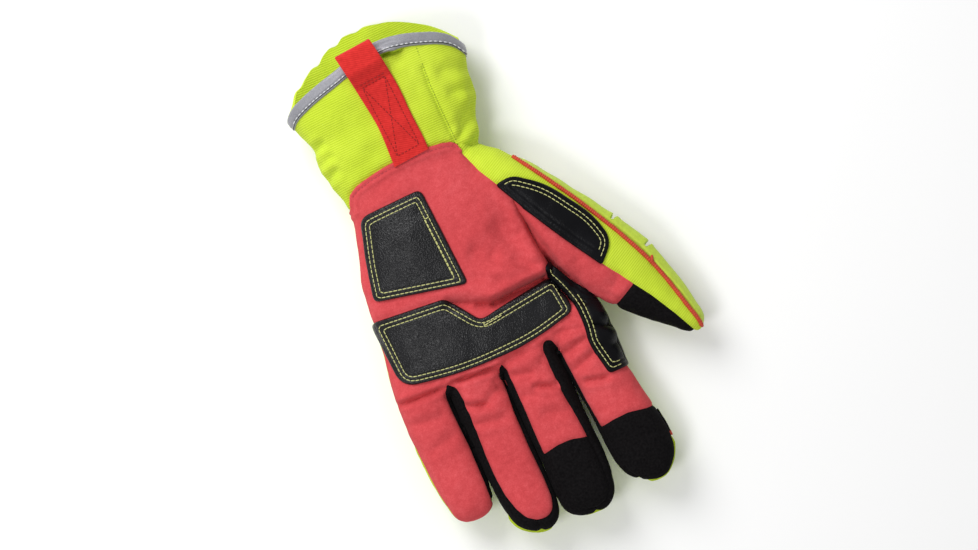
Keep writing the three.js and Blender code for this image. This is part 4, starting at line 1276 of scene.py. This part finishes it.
TAB_START = np.array((-5.0, 19.8))
TAB_TURN = math.radians(TAB_ANGLE)
TAB_ALONG = np.array((-math.sin(TAB_TURN), math.cos(TAB_TURN)))
TAB_ACROSS = np.array((math.cos(TAB_TURN), math.sin(TAB_TURN)))
TAB_HALF = 10.2
TAB_SEWN_TO, TAB_OVER_TAPE, TAB_BEND = 44.6, 53, 61.2
TAB_THICK = 1.45
TAB_GAP = 2.0


def tab_point(along, across):
    """A point of the tab, which bows a little to one side and is waisted where it is sewn."""
    waist = 1 - 0.08 * bell(along - 21, 13)
    bow = 1.8 * np.sin(math.pi * np.clip(along / 63, 0, 1))
    aside = np.multiply.outer(across * waist + bow, TAB_ACROSS)
    return TAB_START + np.multiply.outer(along, TAB_ALONG) + aside


def tab_path(flat):
    """The strap's middle line: along the cuff and height over it, with the way to its outer side."""
    lift = 0.85 + 1.5 * smoothstep(TAB_SEWN_TO + 2, TAB_OVER_TAPE, flat)
    radius = (TAB_GAP + TAB_THICK) / 2
    turn = np.radians(np.linspace(-78, 78, 12))
    bend = np.column_stack([TAB_BEND + 1.25 * radius * np.cos(turn),
                            lift[-1] + radius * (1 + np.sin(turn))])
    back = flat[flat > TAB_SEWN_TO - 1][::-1]
    step = TAB_THICK * smoothstep(TAB_SEWN_TO - 1.4, TAB_SEWN_TO + 2.4, back) + 0.1
    rise = (TAB_GAP + 0.001) * smoothstep(TAB_SEWN_TO, TAB_OVER_TAPE, back)
    over = np.where(back < TAB_OVER_TAPE, np.interp(back, flat, lift) + step + rise, lift[-1] + 2 * radius)
    path = np.concatenate([np.column_stack([flat, lift]), bend, np.column_stack([back, over])])
    slope = unit(np.gradient(path, axis=0))
    return path, np.column_stack([-slope[:, 1], slope[:, 0]])


def make_tab():
    across = np.linspace(-TAB_HALF, TAB_HALF, 35)
    flat = np.arange(0, TAB_BEND + 0.01, 0.6)
    hits = [drop(skin_tree, *tab_point(along, side))[0] for along in flat for side in across]
    heights = np.array([40.0 if hit is None else hit.z for hit in hits])
    ground = eased(heights.reshape(len(flat), len(across)), 12, True)
    edge = edged(TAB_HALF - np.abs(across), 0.7)
    thick = TAB_THICK / 2 * (0.35 + 0.65 * edge) + 0.1 * smoothstep(8.2, 9.2, np.abs(across))
    layers = []
    for sign in (1, -1):
        grid = []
        for (s, h), n in zip(*tab_path(flat)):
            base = np.array([np.interp(s, flat, strip) for strip in ground.T])
            xy = tab_point(s + sign * n[0] * thick, across)
            grid.append(np.column_stack([xy, base + h + sign * n[1] * thick]))
        grid = np.array(grid)
        grid[..., 2] += 0.3 * soft_noise(grid.reshape(-1, 3), 0.11, 21).reshape(grid.shape[:2])
        layers.append(grid)
    verts = np.reshape(layers, (-1, 3))
    first, second = np.arange(len(verts)).reshape(2, len(grid), len(across))
    faces = np.concatenate([
        between(first[:-1], first[1:]), between(second[:-1], second[1:])[:, [0, 3, 2, 1]],
        between(first[:, 0], second[:, 0]), between(first[:, -1], second[:, -1])[:, ::-1],
        between(first[0], second[0]), between(first[-1], second[-1])[:, ::-1]])
    finish_piece("pull_tab_webbing", (verts, faces.tolist()), STRAP, "red_webbing", "pull_tab")
    return Surface(verts, np.concatenate([faces[:, :3], faces[:, [0, 2, 3]]])).tree()


def make_tab_thread(tree):
    corners = [(4.4, -6.6), (TAB_SEWN_TO - 1, -6.6), (TAB_SEWN_TO - 1, 6.6), (4.4, 6.6)]
    box = [tab_point(s, w) for s, w in corners]
    lines = [closed(np.array(box)), [box[0], box[2]], [box[1], box[3]],
             [tab_point(TAB_SEWN_TO + 0.6, -7.4), tab_point(TAB_SEWN_TO + 0.6, 7.4)]]
    sew("tab_stitching", tree, lines, (2.0, 0.72, 0.24), RED_THREAD, "red_webbing")


def make_seam_thread():
    """Small stitches on the cloth: the palm's hem and beside the cuff's seam."""
    shell = skin.moved(np.full(len(skin.verts), 0.22)).tree()
    hem = np.array(PALM_TOP[1:-1]) - (0, HEM_SEWN)
    sew("hem_stitching", shell, [hem], (2.2, 0.7, 0.2), CORAL_THREAD, "coral_knit")
    side = np.array([*CUFF_SEAM[:-1], (20.7, 73)]) + (0.5, 1.5)
    sew("cuff_stitching", skin_tree, [side], (1.7, 0.6, 0.17), LIME_THREAD, "lime_knit")


# Floor, light and camera

PIXEL = 0.531 / 1000  # metres of the glove in one pixel of the photograph
VIEW_WIDTH = 978
ROLL = math.radians(24.3)
AIM, AIM_HEIGHT = (6.6, -52.5), 18
LENS, SENSOR = 85.0, 36.0


def make_camera():
    data = bpy.data.cameras.new("camera")
    data.lens, data.sensor_width = LENS, SENSOR
    camera = add_object("camera", data)
    distance = VIEW_WIDTH * PIXEL * LENS / SENSOR
    camera.location = (*(np.subtract(AIM, ORIGIN) / 1000), AIM_HEIGHT / 1000 + distance)
    camera.rotation_euler = (0, 0, -ROLL)
    bpy.context.scene.camera = camera


def make_floor():
    floor = object_of("floor", [(-3, -3, 0), (3, -3, 0), (3, 3, 0), (-3, 3, 0)], [(0, 1, 2, 3)])
    paint = Finish("floor_paint", Roughness=0.9, Specular_IOR_Level=0.1)
    paint.colour(paint.noise(3, 2), (0.2, (0.94, 0.94, 0.94)), (0.8, (0.96, 0.96, 0.96)))
    floor.data.materials.append(paint.material)


def make_light(name, place, size, watts):
    """A round lamp that shines on the glove's middle."""
    data = bpy.data.lights.new(name, "AREA")
    data.shape, data.size, data.energy = "DISK", size, watts
    light = add_object(name, data)
    light.location = place
    light.rotation_mode = "QUATERNION"
    light.rotation_quaternion = Vector(place).to_track_quat("Z", "Y")


def make_world():
    world = bpy.data.worlds.new("studio")
    world.use_nodes = True
    light = world.node_tree.nodes["Background"].inputs
    light["Color"].default_value, light["Strength"].default_value = (1, 1, 1, 1), 0.52
    bpy.context.scene.world = world


make_patch_thread()
make_guard()
make_piping()
make_index_edging()
make_finger_guards()
make_binding_thread(make_binding())
make_tab_thread(make_tab())
make_seam_thread()
make_floor()
make_camera()
make_world()
make_light("key", (-0.26, 0.76, 0.78), 0.7, 8.4)
make_light("front", (-0.66, -0.20, 1.25), 0.4, 5.0)
bpy.context.scene.view_settings.view_transform = "Standard"
